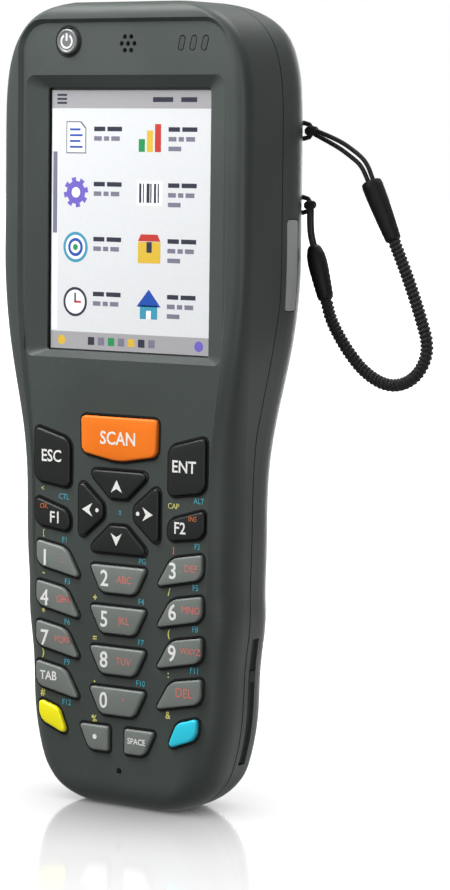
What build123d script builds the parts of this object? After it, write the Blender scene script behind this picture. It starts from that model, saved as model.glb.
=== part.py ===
from build123d import *

import math
import os

# Handheld barcode data terminal. Millimetres, X to the right, Y to the back, Z up.
# The keys face -Y. The origin is on the surface that the terminal stands on, under its middle.

# Body
LENGTH = 152.7
HEAD_WIDTH = 56.6
GRIP_WIDTH = 49.3
TAIL_WIDTH = 46.1
HEAD_DEPTH = 26.8
GRIP_DEPTH = 20.6
WAIST_TOP = 102.0
WAIST_BOTTOM = 60.0
CROWN_HEIGHT = 27.4
CROWN_POWER = 3.75
CROWN_CUT = 0.985
TOE_HEIGHT = 20.0
TOE_POWER = 2.9
TOE_CUT = 0.96
CROWN_FRONT_ROUND = 2.5
CROWN_BACK_ROUND = 8.0
TOE_FRONT_ROUND = 5.0
TOE_BACK_ROUND = 7.0
END_CUT = 0.93
HEAD_FRONT_CORNER = 2.5
GRIP_FRONT_CORNER = 6.5
HEAD_BACK_CORNER = 11.0
GRIP_BACK_CORNER = 9.0
WALL = 2.0
PANEL_WALL = 1.6
RIM_HEIGHT = 0.8
RIM_FADE_TOP = 56.0
RIM_FADE_BOTTOM = 32.0
RIM_FADE_EXTRA = 0.05
SEAM_HEAD = 12.3
SEAM_GRIP = 9.1
SEAM_TOP = 97.0
SEAM_BOTTOM = 72.0
SEAM_GAP = 0.3
SEAL_THICKNESS = 1.0
SEAL_WIDTH = 1.8
FIT = 0.2
STATIONS_MIDDLE = 9
STATIONS_END = 9
STATION_POWER = 2.2

# Front panel
RECESS_HEAD = 24.2
RECESS_GRIP = 20.9
RECESS_TOP = 149.6
RECESS_CORNER = 5.5
RECESS_SLOPE = 0.7
SCREEN_MIDDLE = 111.85
WINDOW_WIDTH = 37.6
WINDOW_HEIGHT = 49.9
WINDOW_CORNER = 0.6
WINDOW_LIP = 0.4
TRAY_WIDTH = 45.8
TRAY_TOP = 139.1
TRAY_BOTTOM = 85.6
TRAY_CORNER = 2.0
TRAY_DEPTH = 1.7
GASKET_THICKNESS = 0.25
GLASS_THICKNESS = 1.2
GLASS_OVERLAP = 2.0
LCD_THICKNESS = 2.6
LCD_TAIL = 1.6
RIB = 0.9

# Keys
KEY_RISE = 0.7
KEY_TRAVEL = 0.6
KEY_GAP = 0.18
KEY_EDGE = 0.35
KEY_TUCK = 0.2
ROW_PITCH = 7.8
FIRST_ROW = 43.6
MIDDLE_ROW = 41.4
SIDE_KEY_EDGE = 19.3
SIDE_KEY_TIP = 9.0
ARROWS_MIDDLE = 56.9
POWER_BUTTON_X = -12.8
POWER_BUTTON_Z = 145.4
POWER_BUTTON_RADIUS = 2.4
MAT_THICKNESS = 1.2
MAT_TOP = 77.0
MAT_BOTTOM = 11.0
BOARD_THICKNESS = 1.0
CONNECTOR_WIDTH = 14.0
CONNECTOR_Z = 70.0

# Openings in the front panel
EARPIECE_X = 1.0
EARPIECE_Z = 144.9
EARPIECE_HOLE = 0.45
EARPIECE_PITCH = 1.45
EARPIECE_RADIUS = 3.0
EARPIECE_THICKNESS = 2.2
LED_X = 13.2
LED_Z = 144.9
LED_PITCH = 2.6
LED_COUNT = 3
LED_LENGTH = 2.6
LED_WIDTH = 1.0
LED_TILT = 14.0
LED_PIPE = 3.0
MIC_X = 0.3
MIC_Z = 7.3
MIC_HOLE = 0.6
MIC_RADIUS = 1.4
MIC_THICKNESS = 1.2

# Side triggers
TRIGGER_Z = 104.0
TRIGGER_LENGTH = 17.0
TRIGGER_WIDTH = 3.8
TRIGGER_SETBACK = 1.9
TRIGGER_CORNER = 0.8
TRIGGER_DEPTH = 2.7
TRIGGER_TRAVEL = 0.6
SWITCH_DEPTH = 3.0

# Inside
MAIN_BOARD_SETBACK = 7.8
MAIN_BOARD_THICKNESS = 1.2
MAIN_BOARD_HEAD = 41.0
MAIN_BOARD_GRIP = 36.0
MAIN_BOARD_STEP = 86.0
MAIN_BOARD_TOP = 141.0
MAIN_BOARD_BOTTOM = 12.0
ENGINE_WIDTH = 21.8
ENGINE_DEPTH = 12.6
ENGINE_HEIGHT = 13.0
ENGINE_TOP = 149.0
SCAN_WINDOW_WIDTH = 17.0
SCAN_WINDOW_DEPTH = 4.6
SCAN_WINDOW_Y = 2.5
SCAN_WINDOW_INSET = 0.3
SCAN_FLANGE = 0.8
SCAN_FLANGE_WIDTH = 0.3
SPEAKER_X = -9.0
SPEAKER_Z = 124.0
SPEAKER_RADIUS = 7.0
SPEAKER_HEIGHT = 4.0
SPEAKER_SLOTS = 4
SPEAKER_SLOT_WIDTH = 1.2
SPEAKER_SLOT_LENGTH = 9.0
SPEAKER_SLOT_PITCH = 2.6
CELL_RADIUS = 6.0
CELL_HEIGHT = 3.0
CELL_X = 12.0
CELL_Z = 118.0

# Battery and its door
BATTERY_WIDTH = 34.0
BATTERY_HEIGHT = 50.0
BATTERY_THICKNESS = 4.8
BATTERY_BOTTOM = 24.0
BATTERY_CORNER = 1.5
BATTERY_GAP = 0.5
DOOR_WIDTH = 37.0
DOOR_BOTTOM = 21.0
DOOR_TOP = 80.0
DOOR_CORNER = 3.0
DOOR_GAP = 0.25
LATCH_WIDTH = 12.0
LATCH_HEIGHT = 5.0
LATCH_THICKNESS = 0.9
LATCH_TRAVEL = 2.5
LATCH_DROP = 5.0

# Memory card and its cover
CARD_LENGTH = 32.0
CARD_WIDTH = 24.0
CARD_THICKNESS = 2.1
CARD_BOTTOM = 9.5
CARD_SETBACK = 10.7
CARD_INSET = 7.0
SOCKET_WALL = 0.6
SOCKET_MOUTH = 6.0
COVER_THICKNESS = 1.8
COVER_RECESS = 0.5
COVER_PLUG = 3.4
COVER_TAB = 2.2
COVER_TAB_Z = 26.4

# Charging contacts
DOCK_WIDTH = 16.0
DOCK_DEPTH = 3.4
DOCK_HEIGHT = 5.0
DOCK_SETBACK = 12.2
DOCK_RECESS = 0.6
CONTACT_COUNT = 6
CONTACT_PITCH = 2.4

# Housing screws, as (x, z) of the pairs left and right
SCREW_PLACES = [(24.4, 133.0), (21.2, 79.8), (13.5, 6.2)]
SCREW_RADIUS = 1.0
SCREW_HEAD_RADIUS = 1.8
SCREW_HEAD_HEIGHT = 1.4
SCREW_SEAT = 5.0
SCREW_BITE = 4.0
BOSS_RADIUS = 2.3
SEAT_BOSS_RADIUS = 2.6
SCREW_CLEARANCE = 0.1
THREAD_CLEARANCE = 0.03

# Tether, with its route from the upper eyelet to the lower one as (x, z)
TETHER_Y = 9.4
UPPER_KNOT = (27.9, 129.1)
LOWER_KNOT = (27.9, 115.2)
KNOT_RADIUS = 1.5
LOWER_KNOT_RADIUS = 1.3
PAIR_RADIUS = 0.95
CORD_RADIUS = 1.3
STRING_RADIUS = 0.5
SLEEVE_MOUTH = 1.85
SLEEVE_TAIL = 1.55
UPPER_STRING_ROUTE = [(28.6, 128.8), (33.4, 127.0), (37.0, 124.9), (39.5, 123.06), (41.0, 119.9)]
CORD_ROUTE = [(46.2, 109.0), (49.2, 102.68), (52.2, 95.2), (54.3, 89.0), (51.6, 83.6), (46.2, 81.6),
              (40.6, 83.9), (36.2, 88.4), (32.74, 93.56), (31.6, 97.4)]
LOWER_STRING_ROUTE = [(28.6, 107.6), (27.75, 110.5), (27.8, 114.4)]
EYELET_RADIUS = 0.7
EYELET_PITCH = 3.2

FRONT_Y = -HEAD_DEPTH / 2
PANEL_Y = FRONT_Y + RIM_HEIGHT
INNER_FRONT_Y = PANEL_Y + PANEL_WALL
LIP_BACK_Y = PANEL_Y + TRAY_DEPTH + WINDOW_LIP
GLASS_Y = LIP_BACK_Y + GASKET_THICKNESS
LCD_Y = GLASS_Y + GLASS_THICKNESS
LCD_BACK_Y = LCD_Y + LCD_THICKNESS
GLASS_WIDTH = WINDOW_WIDTH + 2 * GLASS_OVERLAP
GLASS_HEIGHT = WINDOW_HEIGHT + 2 * GLASS_OVERLAP
KEY_FRONT_Y = PANEL_Y - KEY_RISE
KEY_BACK_Y = INNER_FRONT_Y + KEY_TUCK
MAT_Y = KEY_BACK_Y + KEY_TRAVEL
KEYPAD_BOARD_Y = MAT_Y + MAT_THICKNESS
MAIN_BOARD_Y = FRONT_Y + MAIN_BOARD_SETBACK
MAIN_BOARD_BACK_Y = MAIN_BOARD_Y + MAIN_BOARD_THICKNESS
SEAM_HEAD_Y = FRONT_Y + SEAM_HEAD
SEAM_GRIP_Y = FRONT_Y + SEAM_GRIP
TRIGGER_Y = SEAM_HEAD_Y + TRIGGER_SETBACK + TRIGGER_WIDTH / 2
BATTERY_BACK_Y = FRONT_Y + GRIP_DEPTH - WALL - BATTERY_GAP
CARD_Y = FRONT_Y + CARD_SETBACK
DOCK_Y = FRONT_Y + DOCK_SETBACK
TOP_Z = LENGTH - WALL


def mix(low, high, share):
    return low + (high - low) * share


def smooth(share):
    share = min(1.0, max(0.0, share))
    return share * share * (3 - 2 * share)


def waist(z):
    """0 in the grip, 1 in the head, and a smooth step between them."""
    return smooth((z - WAIST_BOTTOM) / (WAIST_TOP - WAIST_BOTTOM))


def end_share(z):
    """The share of the width that is left where the crown or the toe rounds off."""
    crown = max(0.0, CROWN_CUT * (z - LENGTH + CROWN_HEIGHT) / CROWN_HEIGHT)
    toe = max(0.0, TOE_CUT * (TOE_HEIGHT - z) / TOE_HEIGHT)
    crown_share = (1 - crown**CROWN_POWER) ** (1 / CROWN_POWER)
    return crown_share * (1 - toe**TOE_POWER) ** (1 / TOE_POWER)


def half_width(z):
    low = max(0.0, WAIST_BOTTOM - z) / (WAIST_BOTTOM - TOE_HEIGHT)
    taper = (GRIP_WIDTH - TAIL_WIDTH) * min(low, 1.2) ** 2
    return (mix(GRIP_WIDTH, HEAD_WIDTH, waist(z)) - taper) / 2 * end_share(z)


def drawn_back(z, end, radius):
    """How far the front or back face draws in where it rounds off towards an end."""
    near = END_CUT * max(0.0, 1 - abs(end - z) / radius)
    return radius * (1 - math.sqrt(1 - near**2))


def panel_y(z):
    ends = drawn_back(z, LENGTH, CROWN_FRONT_ROUND) + drawn_back(z, 0, TOE_FRONT_ROUND)
    return PANEL_Y + ends


def front_y(z):
    """The front face, whose rim stands above the panel in the head and fades out in the grip."""
    rise = smooth((z - RIM_FADE_BOTTOM) / (RIM_FADE_TOP - RIM_FADE_BOTTOM))
    return panel_y(z) + mix(RIM_FADE_EXTRA, -RIM_HEIGHT, rise)


def back_y(z):
    ends = drawn_back(z, LENGTH, CROWN_BACK_ROUND) + drawn_back(z, 0, TOE_BACK_ROUND)
    return FRONT_Y + mix(GRIP_DEPTH, HEAD_DEPTH, waist(z)) - ends


def stations():
    """The heights of the body's cross-sections, closer together towards both ends."""
    shares = [1 - (1 - i / STATIONS_END) ** STATION_POWER for i in range(STATIONS_END + 1)]
    toe = [TOE_HEIGHT * (1 - share) for share in reversed(shares)]
    crown = [LENGTH - CROWN_HEIGHT * (1 - share) for share in shares]
    step = (crown[0] - toe[-1]) / STATIONS_MIDDLE
    middle = [toe[-1] + step * i for i in range(1, STATIONS_MIDDLE)]
    return toe + middle + crown


def section(z, level, inset):
    """The body's cross-section for height z, drawn at level and set in by inset."""
    half = half_width(z) - inset
    front = panel_y(z) + inset - (WALL - PANEL_WALL) if inset else front_y(z)
    back = back_y(z) - inset
    full_depth = mix(GRIP_DEPTH, HEAD_DEPTH, waist(z))
    shrink = (back_y(z) - front_y(z)) / full_depth
    front_corner = max(0.8, mix(GRIP_FRONT_CORNER, HEAD_FRONT_CORNER, waist(z)) * shrink - inset)
    back_corner = max(0.8, mix(GRIP_BACK_CORNER, HEAD_BACK_CORNER, waist(z)) * shrink - inset)
    bend = math.sqrt(0.5)
    edges = []
    corners = [(half, front, front_corner, 1, -1), (half, back, back_corner, 1, 1),
               (-half, back, back_corner, -1, 1), (-half, front, front_corner, -1, -1)]
    arcs = []
    for x, y, radius, side_x, side_y in corners:
        middle_x, middle_y = x - side_x * radius, y - side_y * radius
        ends = [(middle_x, y, level), (x, middle_y, level)]
        bulge = (middle_x + side_x * radius * bend, middle_y + side_y * radius * bend, level)
        if side_x != -side_y:
            ends.reverse()
        arcs.append((ends[0], bulge, ends[1]))
    for i, arc in enumerate(arcs):
        edges.append(Edge.make_three_point_arc(*arc))
        edges.append(Edge.make_line(arc[2], arcs[(i + 1) % 4][0]))
    return Wire(edges)


def body_loft(inset=0.0):
    """The body's whole outer form, or the same form set in evenly by inset."""
    scale = (LENGTH - 2 * inset) / LENGTH
    wires = [section(z, inset + z * scale, inset) for z in stations()]
    return Solid.make_loft(wires)


def on_face(y):
    """A plane that faces the user at depth y, with X to the right and Z up."""
    return Plane(origin=(0, y, 0), x_dir=(1, 0, 0), z_dir=(0, -1, 0))


def slab(sketch, near_y, far_y):
    """A flat sketch on the face, as (x, z), given its depth from near_y back to far_y."""
    return extrude(on_face(far_y) * sketch, amount=far_y - near_y, dir=(0, -1, 0))


def box(x0, x1, y0, y1, z0, z1):
    middle = ((x0 + x1) / 2, (y0 + y1) / 2, (z0 + z1) / 2)
    return Pos(*middle) * Box(x1 - x0, y1 - y0, z1 - z0)


def rounded(points, radii):
    """A polygon with a radius of its own at each corner."""
    sketch = Polygon(*points, align=None)
    for point, radius in zip(points, radii):
        corner = sketch.vertices().sort_by_distance((*point, 0))[0]
        sketch = fillet(corner, radius)
    return sketch


def mirrored(points):
    return [(-x, z) for x, z in points]


def along_y(radius, x, z, near_y, far_y):
    return slab(Pos(x, z) * Circle(radius), near_y, far_y)


def seam_y(z):
    return mix(SEAM_GRIP_Y, SEAM_HEAD_Y, (z - SEAM_BOTTOM) / (SEAM_TOP - SEAM_BOTTOM))


def seam_at(z):
    return min(SEAM_HEAD_Y, max(SEAM_GRIP_Y, seam_y(z)))


def beside_seam(shift, towards):
    """The space in front of the seam (towards -1) or behind it (+1), moved by shift along Y."""
    far = towards * HEAD_DEPTH
    points = [(SEAM_HEAD_Y + shift, LENGTH + WALL), (SEAM_HEAD_Y + shift, SEAM_TOP),
              (SEAM_GRIP_Y + shift, SEAM_BOTTOM), (SEAM_GRIP_Y + shift, -WALL), (far, -WALL),
              (far, LENGTH + WALL)]
    profile = Polygon(*points, align=None)
    bends = [profile.vertices().sort_by_distance((*point, 0))[0] for point in points[1:3]]
    profile = fillet(bends, LENGTH / 6)
    return extrude(Plane.YZ * profile, amount=HEAD_WIDTH, both=True)


def recess_outline(inset, y):
    """The edge of the recessed front panel, at depth y and set in by inset."""
    top = RECESS_TOP - inset
    turn = top - RECESS_CORNER
    low = -WALL
    rise = (turn - low) / STATIONS_MIDDLE
    heights = [low + rise * i for i in range(STATIONS_MIDDLE + 1)]
    side = [mix(RECESS_GRIP, RECESS_HEAD, waist(z)) - inset for z in heights]
    right = [(x, y, z) for x, z in zip(side, heights)]
    left = [(-x, y, z) for x, z in zip(side, heights)]
    flat = side[-1] - RECESS_CORNER
    bulge = flat + RECESS_CORNER * math.sqrt(0.5), turn + RECESS_CORNER * math.sqrt(0.5)
    return Wire([
        Edge.make_spline(right, tangents=[(0, 0, 1), (0, 0, 1)]),
        Edge.make_three_point_arc(right[-1], (bulge[0], y, bulge[1]), (flat, y, top)),
        Edge.make_line((flat, y, top), (-flat, y, top)),
        Edge.make_three_point_arc((-flat, y, top), (-bulge[0], y, bulge[1]), left[-1]),
        Edge.make_spline(left[::-1], tangents=[(0, 0, -1), (0, 0, -1)]),
        Edge.make_line(left[0], right[0]),
    ])


def recess():
    """The shallow recess that leaves a raised rim round the front panel."""
    outer = recess_outline(0, FRONT_Y)
    proud = recess_outline(0, FRONT_Y - RIM_HEIGHT)
    floor = recess_outline(RECESS_SLOPE, PANEL_Y)
    return Solid.make_loft([outer, floor], True) + Solid.make_loft([proud, outer], True)


def tray_middle():
    return (TRAY_TOP + TRAY_BOTTOM) / 2


def tray():
    """The sloping surround of the screen and the window through it."""
    top = on_face(PANEL_Y) * Pos(0, tray_middle())
    top = top * RectangleRounded(TRAY_WIDTH, TRAY_TOP - TRAY_BOTTOM, TRAY_CORNER)
    low = on_face(PANEL_Y + TRAY_DEPTH) * Pos(0, SCREEN_MIDDLE)
    low = low * RectangleRounded(WINDOW_WIDTH, WINDOW_HEIGHT, WINDOW_CORNER)
    slope = loft([top.face(), low.face()], ruled=True)
    above = extrude(top, amount=RIM_HEIGHT)
    window = Pos(0, SCREEN_MIDDLE) * RectangleRounded(WINDOW_WIDTH, WINDOW_HEIGHT, WINDOW_CORNER)
    return slope + above + slab(window, PANEL_Y + TRAY_DEPTH, GLASS_Y)


def key_outlines():
    """Every key's outline on the face, by name, as (x, z)."""
    keys = {}
    keys["scan"] = rounded([(-8.9, 74.9), (-8.7, 67.9), (0, 66.4), (8.7, 67.9), (8.9, 74.9)],
                           [1.0, 1.6, 12.0, 1.6, 1.0])
    tall = [(11.5, 60.8), (19.8, 61.9), (19.8, 72.2), (11.5, 70.0)]
    short = [(11.5, 52.4), (19.7, 53.4), (19.7, 58.6), (11.5, 56.2)]
    for left, right, points in (("escape", "enter", tall), ("f1", "f2", short)):
        radii = [1.2, 2.2, 0.8, 2.2]
        keys[left] = rounded(mirrored(points), radii)
        keys[right] = rounded(points, radii)
    arrow = [(-7.5, 7.8), (-1.9, 2.6), (1.9, 2.6), (7.5, 7.8)]
    side_arrow = [(9.3, -6.0), (3.6, -1.2), (3.6, 1.2), (9.3, 6.0)]
    arrow_radii = [1.0, 1.3, 1.3, 1.0]
    middle = Pos(0, ARROWS_MIDDLE)
    keys["up"] = middle * rounded(arrow, arrow_radii)
    keys["down"] = middle * rounded([(x, -z) for x, z in arrow], arrow_radii)
    keys["right"] = middle * rounded(side_arrow, arrow_radii)
    keys["left"] = middle * rounded(mirrored(side_arrow), arrow_radii)
    rows = [("1", "2", "3"), ("4", "5", "6"), ("7", "8", "9"), ("tab", "0", "delete")]
    leaf = [(SIDE_KEY_TIP, 0), (SIDE_KEY_EDGE, 2.0), (SIDE_KEY_EDGE, 6.7), (12.3, 5.5)]
    leaf_radii = [0.5, 2.2, 0.6, 3.0]
    bowl = [(-6.6, 5.2), (-3.9, 0), (3.9, 0), (6.6, 5.2)]
    for i, (left, centre, right) in enumerate(rows):
        drop = -ROW_PITCH * i
        keys[left] = Pos(0, FIRST_ROW + drop) * rounded(mirrored(leaf), leaf_radii)
        keys[right] = Pos(0, FIRST_ROW + drop) * rounded(leaf, leaf_radii)
        keys[centre] = Pos(0, MIDDLE_ROW + drop) * rounded(bowl, [0.6, 1.8, 1.8, 0.6])
    shift = [(11.6, 12.9), (18.4, 15.4), (18.6, 19.4), (13.9, 18.0)]
    keys["yellow"] = rounded(mirrored(shift), [0.8, 2.6, 0.8, 2.0])
    keys["blue"] = rounded(shift, [0.8, 2.6, 0.8, 2.0])
    word = [(1.9, 10.9), (6.4, 10.9), (8.8, 15.7), (1.9, 15.7)]
    keys["point"] = rounded(mirrored(word), [0.5, 1.8, 0.5, 0.5])
    keys["space"] = rounded(word, [0.5, 1.8, 0.5, 0.5])
    return keys


def key_cap(outline):
    cap = slab(outline, KEY_FRONT_Y, KEY_BACK_Y)
    rim = cap.faces().sort_by(Axis.Y)[0].edges()
    return fillet(rim, KEY_EDGE)


def power_button():
    return key_cap(Pos(POWER_BUTTON_X, POWER_BUTTON_Z) * Circle(POWER_BUTTON_RADIUS))


def key_holes(keys):
    holes = [offset(outline, amount=KEY_GAP) for outline in keys.values()]
    holes.append(Pos(POWER_BUTTON_X, POWER_BUTTON_Z) * Circle(POWER_BUTTON_RADIUS + KEY_GAP))
    return [slab(hole, FRONT_Y, MAT_Y + FIT) for hole in holes]


def led_windows(gap):
    """The slanted status windows, larger all round by gap."""
    window = Rot(0, 0, -LED_TILT) * SlotOverall(LED_LENGTH + 2 * gap, LED_WIDTH + 2 * gap, 90)
    return [Pos(LED_X + LED_PITCH * i, LED_Z) * window for i in range(LED_COUNT)]


def earpiece_places():
    rows = [(-1, 2), (0, 3), (1, 2)]
    rise = EARPIECE_PITCH * math.sqrt(0.75)
    places = []
    for row, count in rows:
        first = EARPIECE_X - EARPIECE_PITCH * (count - 1) / 2
        places += [(first + EARPIECE_PITCH * i, EARPIECE_Z + rise * row) for i in range(count)]
    return places


def panel_holes(keys):
    holes = key_holes(keys)
    holes += [slab(window, FRONT_Y, INNER_FRONT_Y + FIT) for window in led_windows(KEY_GAP)]
    for x, z in earpiece_places():
        holes.append(along_y(EARPIECE_HOLE, x, z, FRONT_Y, INNER_FRONT_Y + FIT))
    holes.append(along_y(MIC_HOLE, MIC_X, MIC_Z, FRONT_Y, INNER_FRONT_Y + 1))
    return holes


def screws_xz():
    return [(side * x, z) for x, z in SCREW_PLACES for side in (-1, 1)]


def screw_seat_y(z):
    return seam_at(z) + SCREW_SEAT


def front_housing(outer, inner, keys):
    shell = (outer - inner) & beside_seam(-SEAM_GAP / 2, -1)
    surround = Pos(0, tray_middle()) * Rectangle(TRAY_WIDTH + 2 * RIB, TRAY_TOP - TRAY_BOTTOM + 2 * RIB)
    shell += slab(surround, PANEL_Y, LIP_BACK_Y)
    shell += screen_ribs()
    for x, z in screws_xz():
        boss = along_y(BOSS_RADIUS, x, z, PANEL_Y + RIM_HEIGHT, seam_at(z) - SEAM_GAP / 2)
        shell += boss
        shell -= along_y(SCREW_RADIUS + THREAD_CLEARANCE, x, z, seam_at(z) - SCREW_BITE - FIT, 0)
    shell -= recess()
    shell -= tray()
    for hole in panel_holes(keys):
        shell -= hole
    return shell


def screen_box(clearance):
    """The outline of the screen module on the face, as (x, z), larger all round by clearance."""
    width = GLASS_WIDTH + 2 * clearance
    height = GLASS_HEIGHT + LCD_TAIL + 2 * clearance
    return Pos(0, SCREEN_MIDDLE - LCD_TAIL / 2) * Rectangle(width, height)


def screen_ribs():
    ring = screen_box(FIT + RIB) - screen_box(FIT)
    return slab(ring, INNER_FRONT_Y, LCD_BACK_Y)


def rear_housing(outer, inner):
    shell = outer - inner
    bosses = [along_y(SEAT_BOSS_RADIUS, x, z, seam_at(z), HEAD_DEPTH) for x, z in screws_xz()]
    for boss in bosses:
        shell += boss & outer
    shell = shell & beside_seam(SEAM_GAP / 2, 1)
    for x, z in screws_xz():
        shell -= along_y(SCREW_RADIUS + SCREW_CLEARANCE, x, z, seam_at(z) - 1, screw_seat_y(z))
        shell -= along_y(SCREW_HEAD_RADIUS + SCREW_CLEARANCE, x, z, screw_seat_y(z), HEAD_DEPTH)
    shell -= slab(door_outline(0), BATTERY_BACK_Y - BATTERY_THICKNESS, HEAD_DEPTH)
    for side in (-1, 1):
        shell -= trigger_bar(side, KEY_GAP, TRIGGER_DEPTH * 2)
    shell -= card_slot(FIT, CARD_WIDTH + 2 * FIT)
    shell -= speaker_slots()
    shell -= scan_window_opening()
    shell -= dock_opening()
    for z in (UPPER_KNOT[1], LOWER_KNOT[1]):
        for rise in (-EYELET_PITCH / 2, EYELET_PITCH / 2):
            eyelet = Pos(HEAD_WIDTH / 2, TETHER_Y, z + rise) * Rot(0, 90, 0)
            shell -= eyelet * Cylinder(EYELET_RADIUS, HEAD_WIDTH / 3)
    return shell


def housing_seal():
    """The rubber seal that lies in the edges of both housings and bridges the seam."""
    ring = body_loft(WALL - SEAL_THICKNESS) - body_loft(WALL)
    band = beside_seam(-SEAL_WIDTH / 2, 1) & beside_seam(SEAL_WIDTH / 2, -1)
    return ring & band


def door_outline(gap):
    middle = (DOOR_TOP + DOOR_BOTTOM) / 2
    height = DOOR_TOP - DOOR_BOTTOM
    return Pos(0, middle) * RectangleRounded(DOOR_WIDTH - 2 * gap, height - 2 * gap, DOOR_CORNER)


def latch_pocket(gap, travel):
    """The slot in the door that the latch slides in, which is longer than it by travel."""
    middle = DOOR_TOP - LATCH_DROP - (LATCH_HEIGHT + travel) / 2
    width = LATCH_WIDTH - 2 * gap
    height = LATCH_HEIGHT + travel - 2 * gap
    return Pos(0, middle) * RectangleRounded(width, height, 1.0)


def latch_front_y():
    return back_y(DOOR_TOP - LATCH_DROP - LATCH_HEIGHT - LATCH_TRAVEL) - LATCH_THICKNESS


def battery_door(outer, inner):
    plate = slab(door_outline(DOOR_GAP), BATTERY_BACK_Y - BATTERY_THICKNESS, HEAD_DEPTH)
    door = (outer - inner) & plate
    return door - slab(latch_pocket(0, LATCH_TRAVEL), latch_front_y(), HEAD_DEPTH)


def battery_door_latch(outer):
    block = slab(latch_pocket(DOOR_GAP, 0), latch_front_y() + FIT / 2, HEAD_DEPTH) & outer
    return block


def battery_pack():
    middle = BATTERY_BOTTOM + BATTERY_HEIGHT / 2
    outline = Pos(0, middle) * RectangleRounded(BATTERY_WIDTH, BATTERY_HEIGHT, BATTERY_CORNER)
    return slab(outline, BATTERY_BACK_Y - BATTERY_THICKNESS, BATTERY_BACK_Y)


def trigger_bar(side, gap, depth):
    """A side trigger's bar, larger all round by gap, from the side face inwards by depth."""
    bar = Rot(0, 90, 0) * RectangleRounded(TRIGGER_LENGTH + 2 * gap, TRIGGER_WIDTH + 2 * gap,
                                           TRIGGER_CORNER)
    outside = side * (HEAD_WIDTH / 2 + gap)
    bar = extrude(bar, amount=-side * depth, dir=(1, 0, 0))
    return Pos(outside, TRIGGER_Y, TRIGGER_Z) * bar


def side_trigger(side, outer):
    return trigger_bar(side, 0, TRIGGER_DEPTH) & outer


def switches():
    """The switches behind the power button and the two side triggers."""
    near = KEY_BACK_Y + KEY_TRAVEL
    switches = [along_y(POWER_BUTTON_RADIUS, POWER_BUTTON_X, POWER_BUTTON_Z, near, near + MAT_THICKNESS)]
    for side in (-1, 1):
        near = HEAD_WIDTH / 2 - TRIGGER_DEPTH - TRIGGER_TRAVEL
        x0, x1 = sorted((side * near, side * (near - SWITCH_DEPTH)))
        switches.append(box(x0, x1, TRIGGER_Y - 2, TRIGGER_Y + 2, TRIGGER_Z - 3, TRIGGER_Z + 3))
    return Compound(children=switches)


def card_slot(gap, width):
    middle = CARD_BOTTOM + CARD_WIDTH / 2
    return box(0, HEAD_WIDTH, CARD_Y - gap, CARD_Y + COVER_THICKNESS + gap,
               middle - width / 2, middle + width / 2)


def card_cover(outer):
    """A rubber plug in the card slot, with a tab that stands flush with the housing."""
    plug = card_slot(0, CARD_WIDTH) & outer
    sunk = card_slot(0, CARD_WIDTH) & body_loft(COVER_RECESS)
    deep = card_slot(0, CARD_WIDTH) & body_loft(COVER_PLUG)
    tab = box(0, HEAD_WIDTH, CARD_Y, CARD_Y + COVER_THICKNESS, COVER_TAB_Z - COVER_TAB / 2,
              COVER_TAB_Z + COVER_TAB / 2)
    return (sunk + (plug & tab)) - deep


def memory_card():
    x1 = half_width(CARD_BOTTOM + CARD_WIDTH / 2) - CARD_INSET
    middle = CARD_Y + COVER_THICKNESS / 2
    return box(x1 - CARD_LENGTH, x1, middle - CARD_THICKNESS / 2, middle + CARD_THICKNESS / 2,
               CARD_BOTTOM, CARD_BOTTOM + CARD_WIDTH)


def speaker_slots():
    slots = []
    for i in range(SPEAKER_SLOTS):
        rise = SPEAKER_SLOT_PITCH * (i - (SPEAKER_SLOTS - 1) / 2)
        slot = Pos(SPEAKER_X, SPEAKER_Z + rise) * SlotOverall(SPEAKER_SLOT_LENGTH, SPEAKER_SLOT_WIDTH)
        slots.append(slab(slot, HEAD_DEPTH / 2 - WALL - FIT, HEAD_DEPTH))
    return Compound(children=slots)


def rear_speaker():
    back = HEAD_DEPTH / 2 - WALL - FIT
    return along_y(SPEAKER_RADIUS, SPEAKER_X, SPEAKER_Z, back - SPEAKER_HEIGHT, back)


def scan_window_opening():
    return Pos(0, SCAN_WINDOW_Y, LENGTH) * Box(SCAN_WINDOW_WIDTH, SCAN_WINDOW_DEPTH, 3 * WALL)


def scan_window():
    pane = Pos(0, SCAN_WINDOW_Y, TOP_Z + (WALL - SCAN_WINDOW_INSET) / 2)
    pane = pane * Box(SCAN_WINDOW_WIDTH - FIT, SCAN_WINDOW_DEPTH - FIT, WALL - SCAN_WINDOW_INSET)
    flange = Pos(0, SCAN_WINDOW_Y, TOP_Z - SCAN_FLANGE / 2)
    wider = 2 * SCAN_FLANGE_WIDTH
    flange = flange * Box(SCAN_WINDOW_WIDTH + wider, SCAN_WINDOW_DEPTH + wider, SCAN_FLANGE)
    return pane + flange


def scan_engine():
    return box(-ENGINE_WIDTH / 2, ENGINE_WIDTH / 2, MAIN_BOARD_BACK_Y,
               MAIN_BOARD_BACK_Y + ENGINE_DEPTH, ENGINE_TOP - ENGINE_HEIGHT, ENGINE_TOP)


def dock_opening():
    return Pos(0, DOCK_Y, 0) * Box(DOCK_WIDTH, DOCK_DEPTH, 3 * WALL)


def dock_connector():
    block = box(-DOCK_WIDTH / 2 + FIT / 2, DOCK_WIDTH / 2 - FIT / 2, DOCK_Y - DOCK_DEPTH / 2 + FIT / 2,
                DOCK_Y + DOCK_DEPTH / 2 - FIT / 2, DOCK_RECESS, DOCK_RECESS + DOCK_HEIGHT)
    return block


def dock_contacts():
    contacts = []
    for i in range(CONTACT_COUNT):
        x = CONTACT_PITCH * (i - (CONTACT_COUNT - 1) / 2)
        contacts.append(box(x - 0.6, x + 0.6, DOCK_Y - 1, DOCK_Y + 1, DOCK_RECESS - 0.3, DOCK_RECESS))
    return contacts


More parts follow.
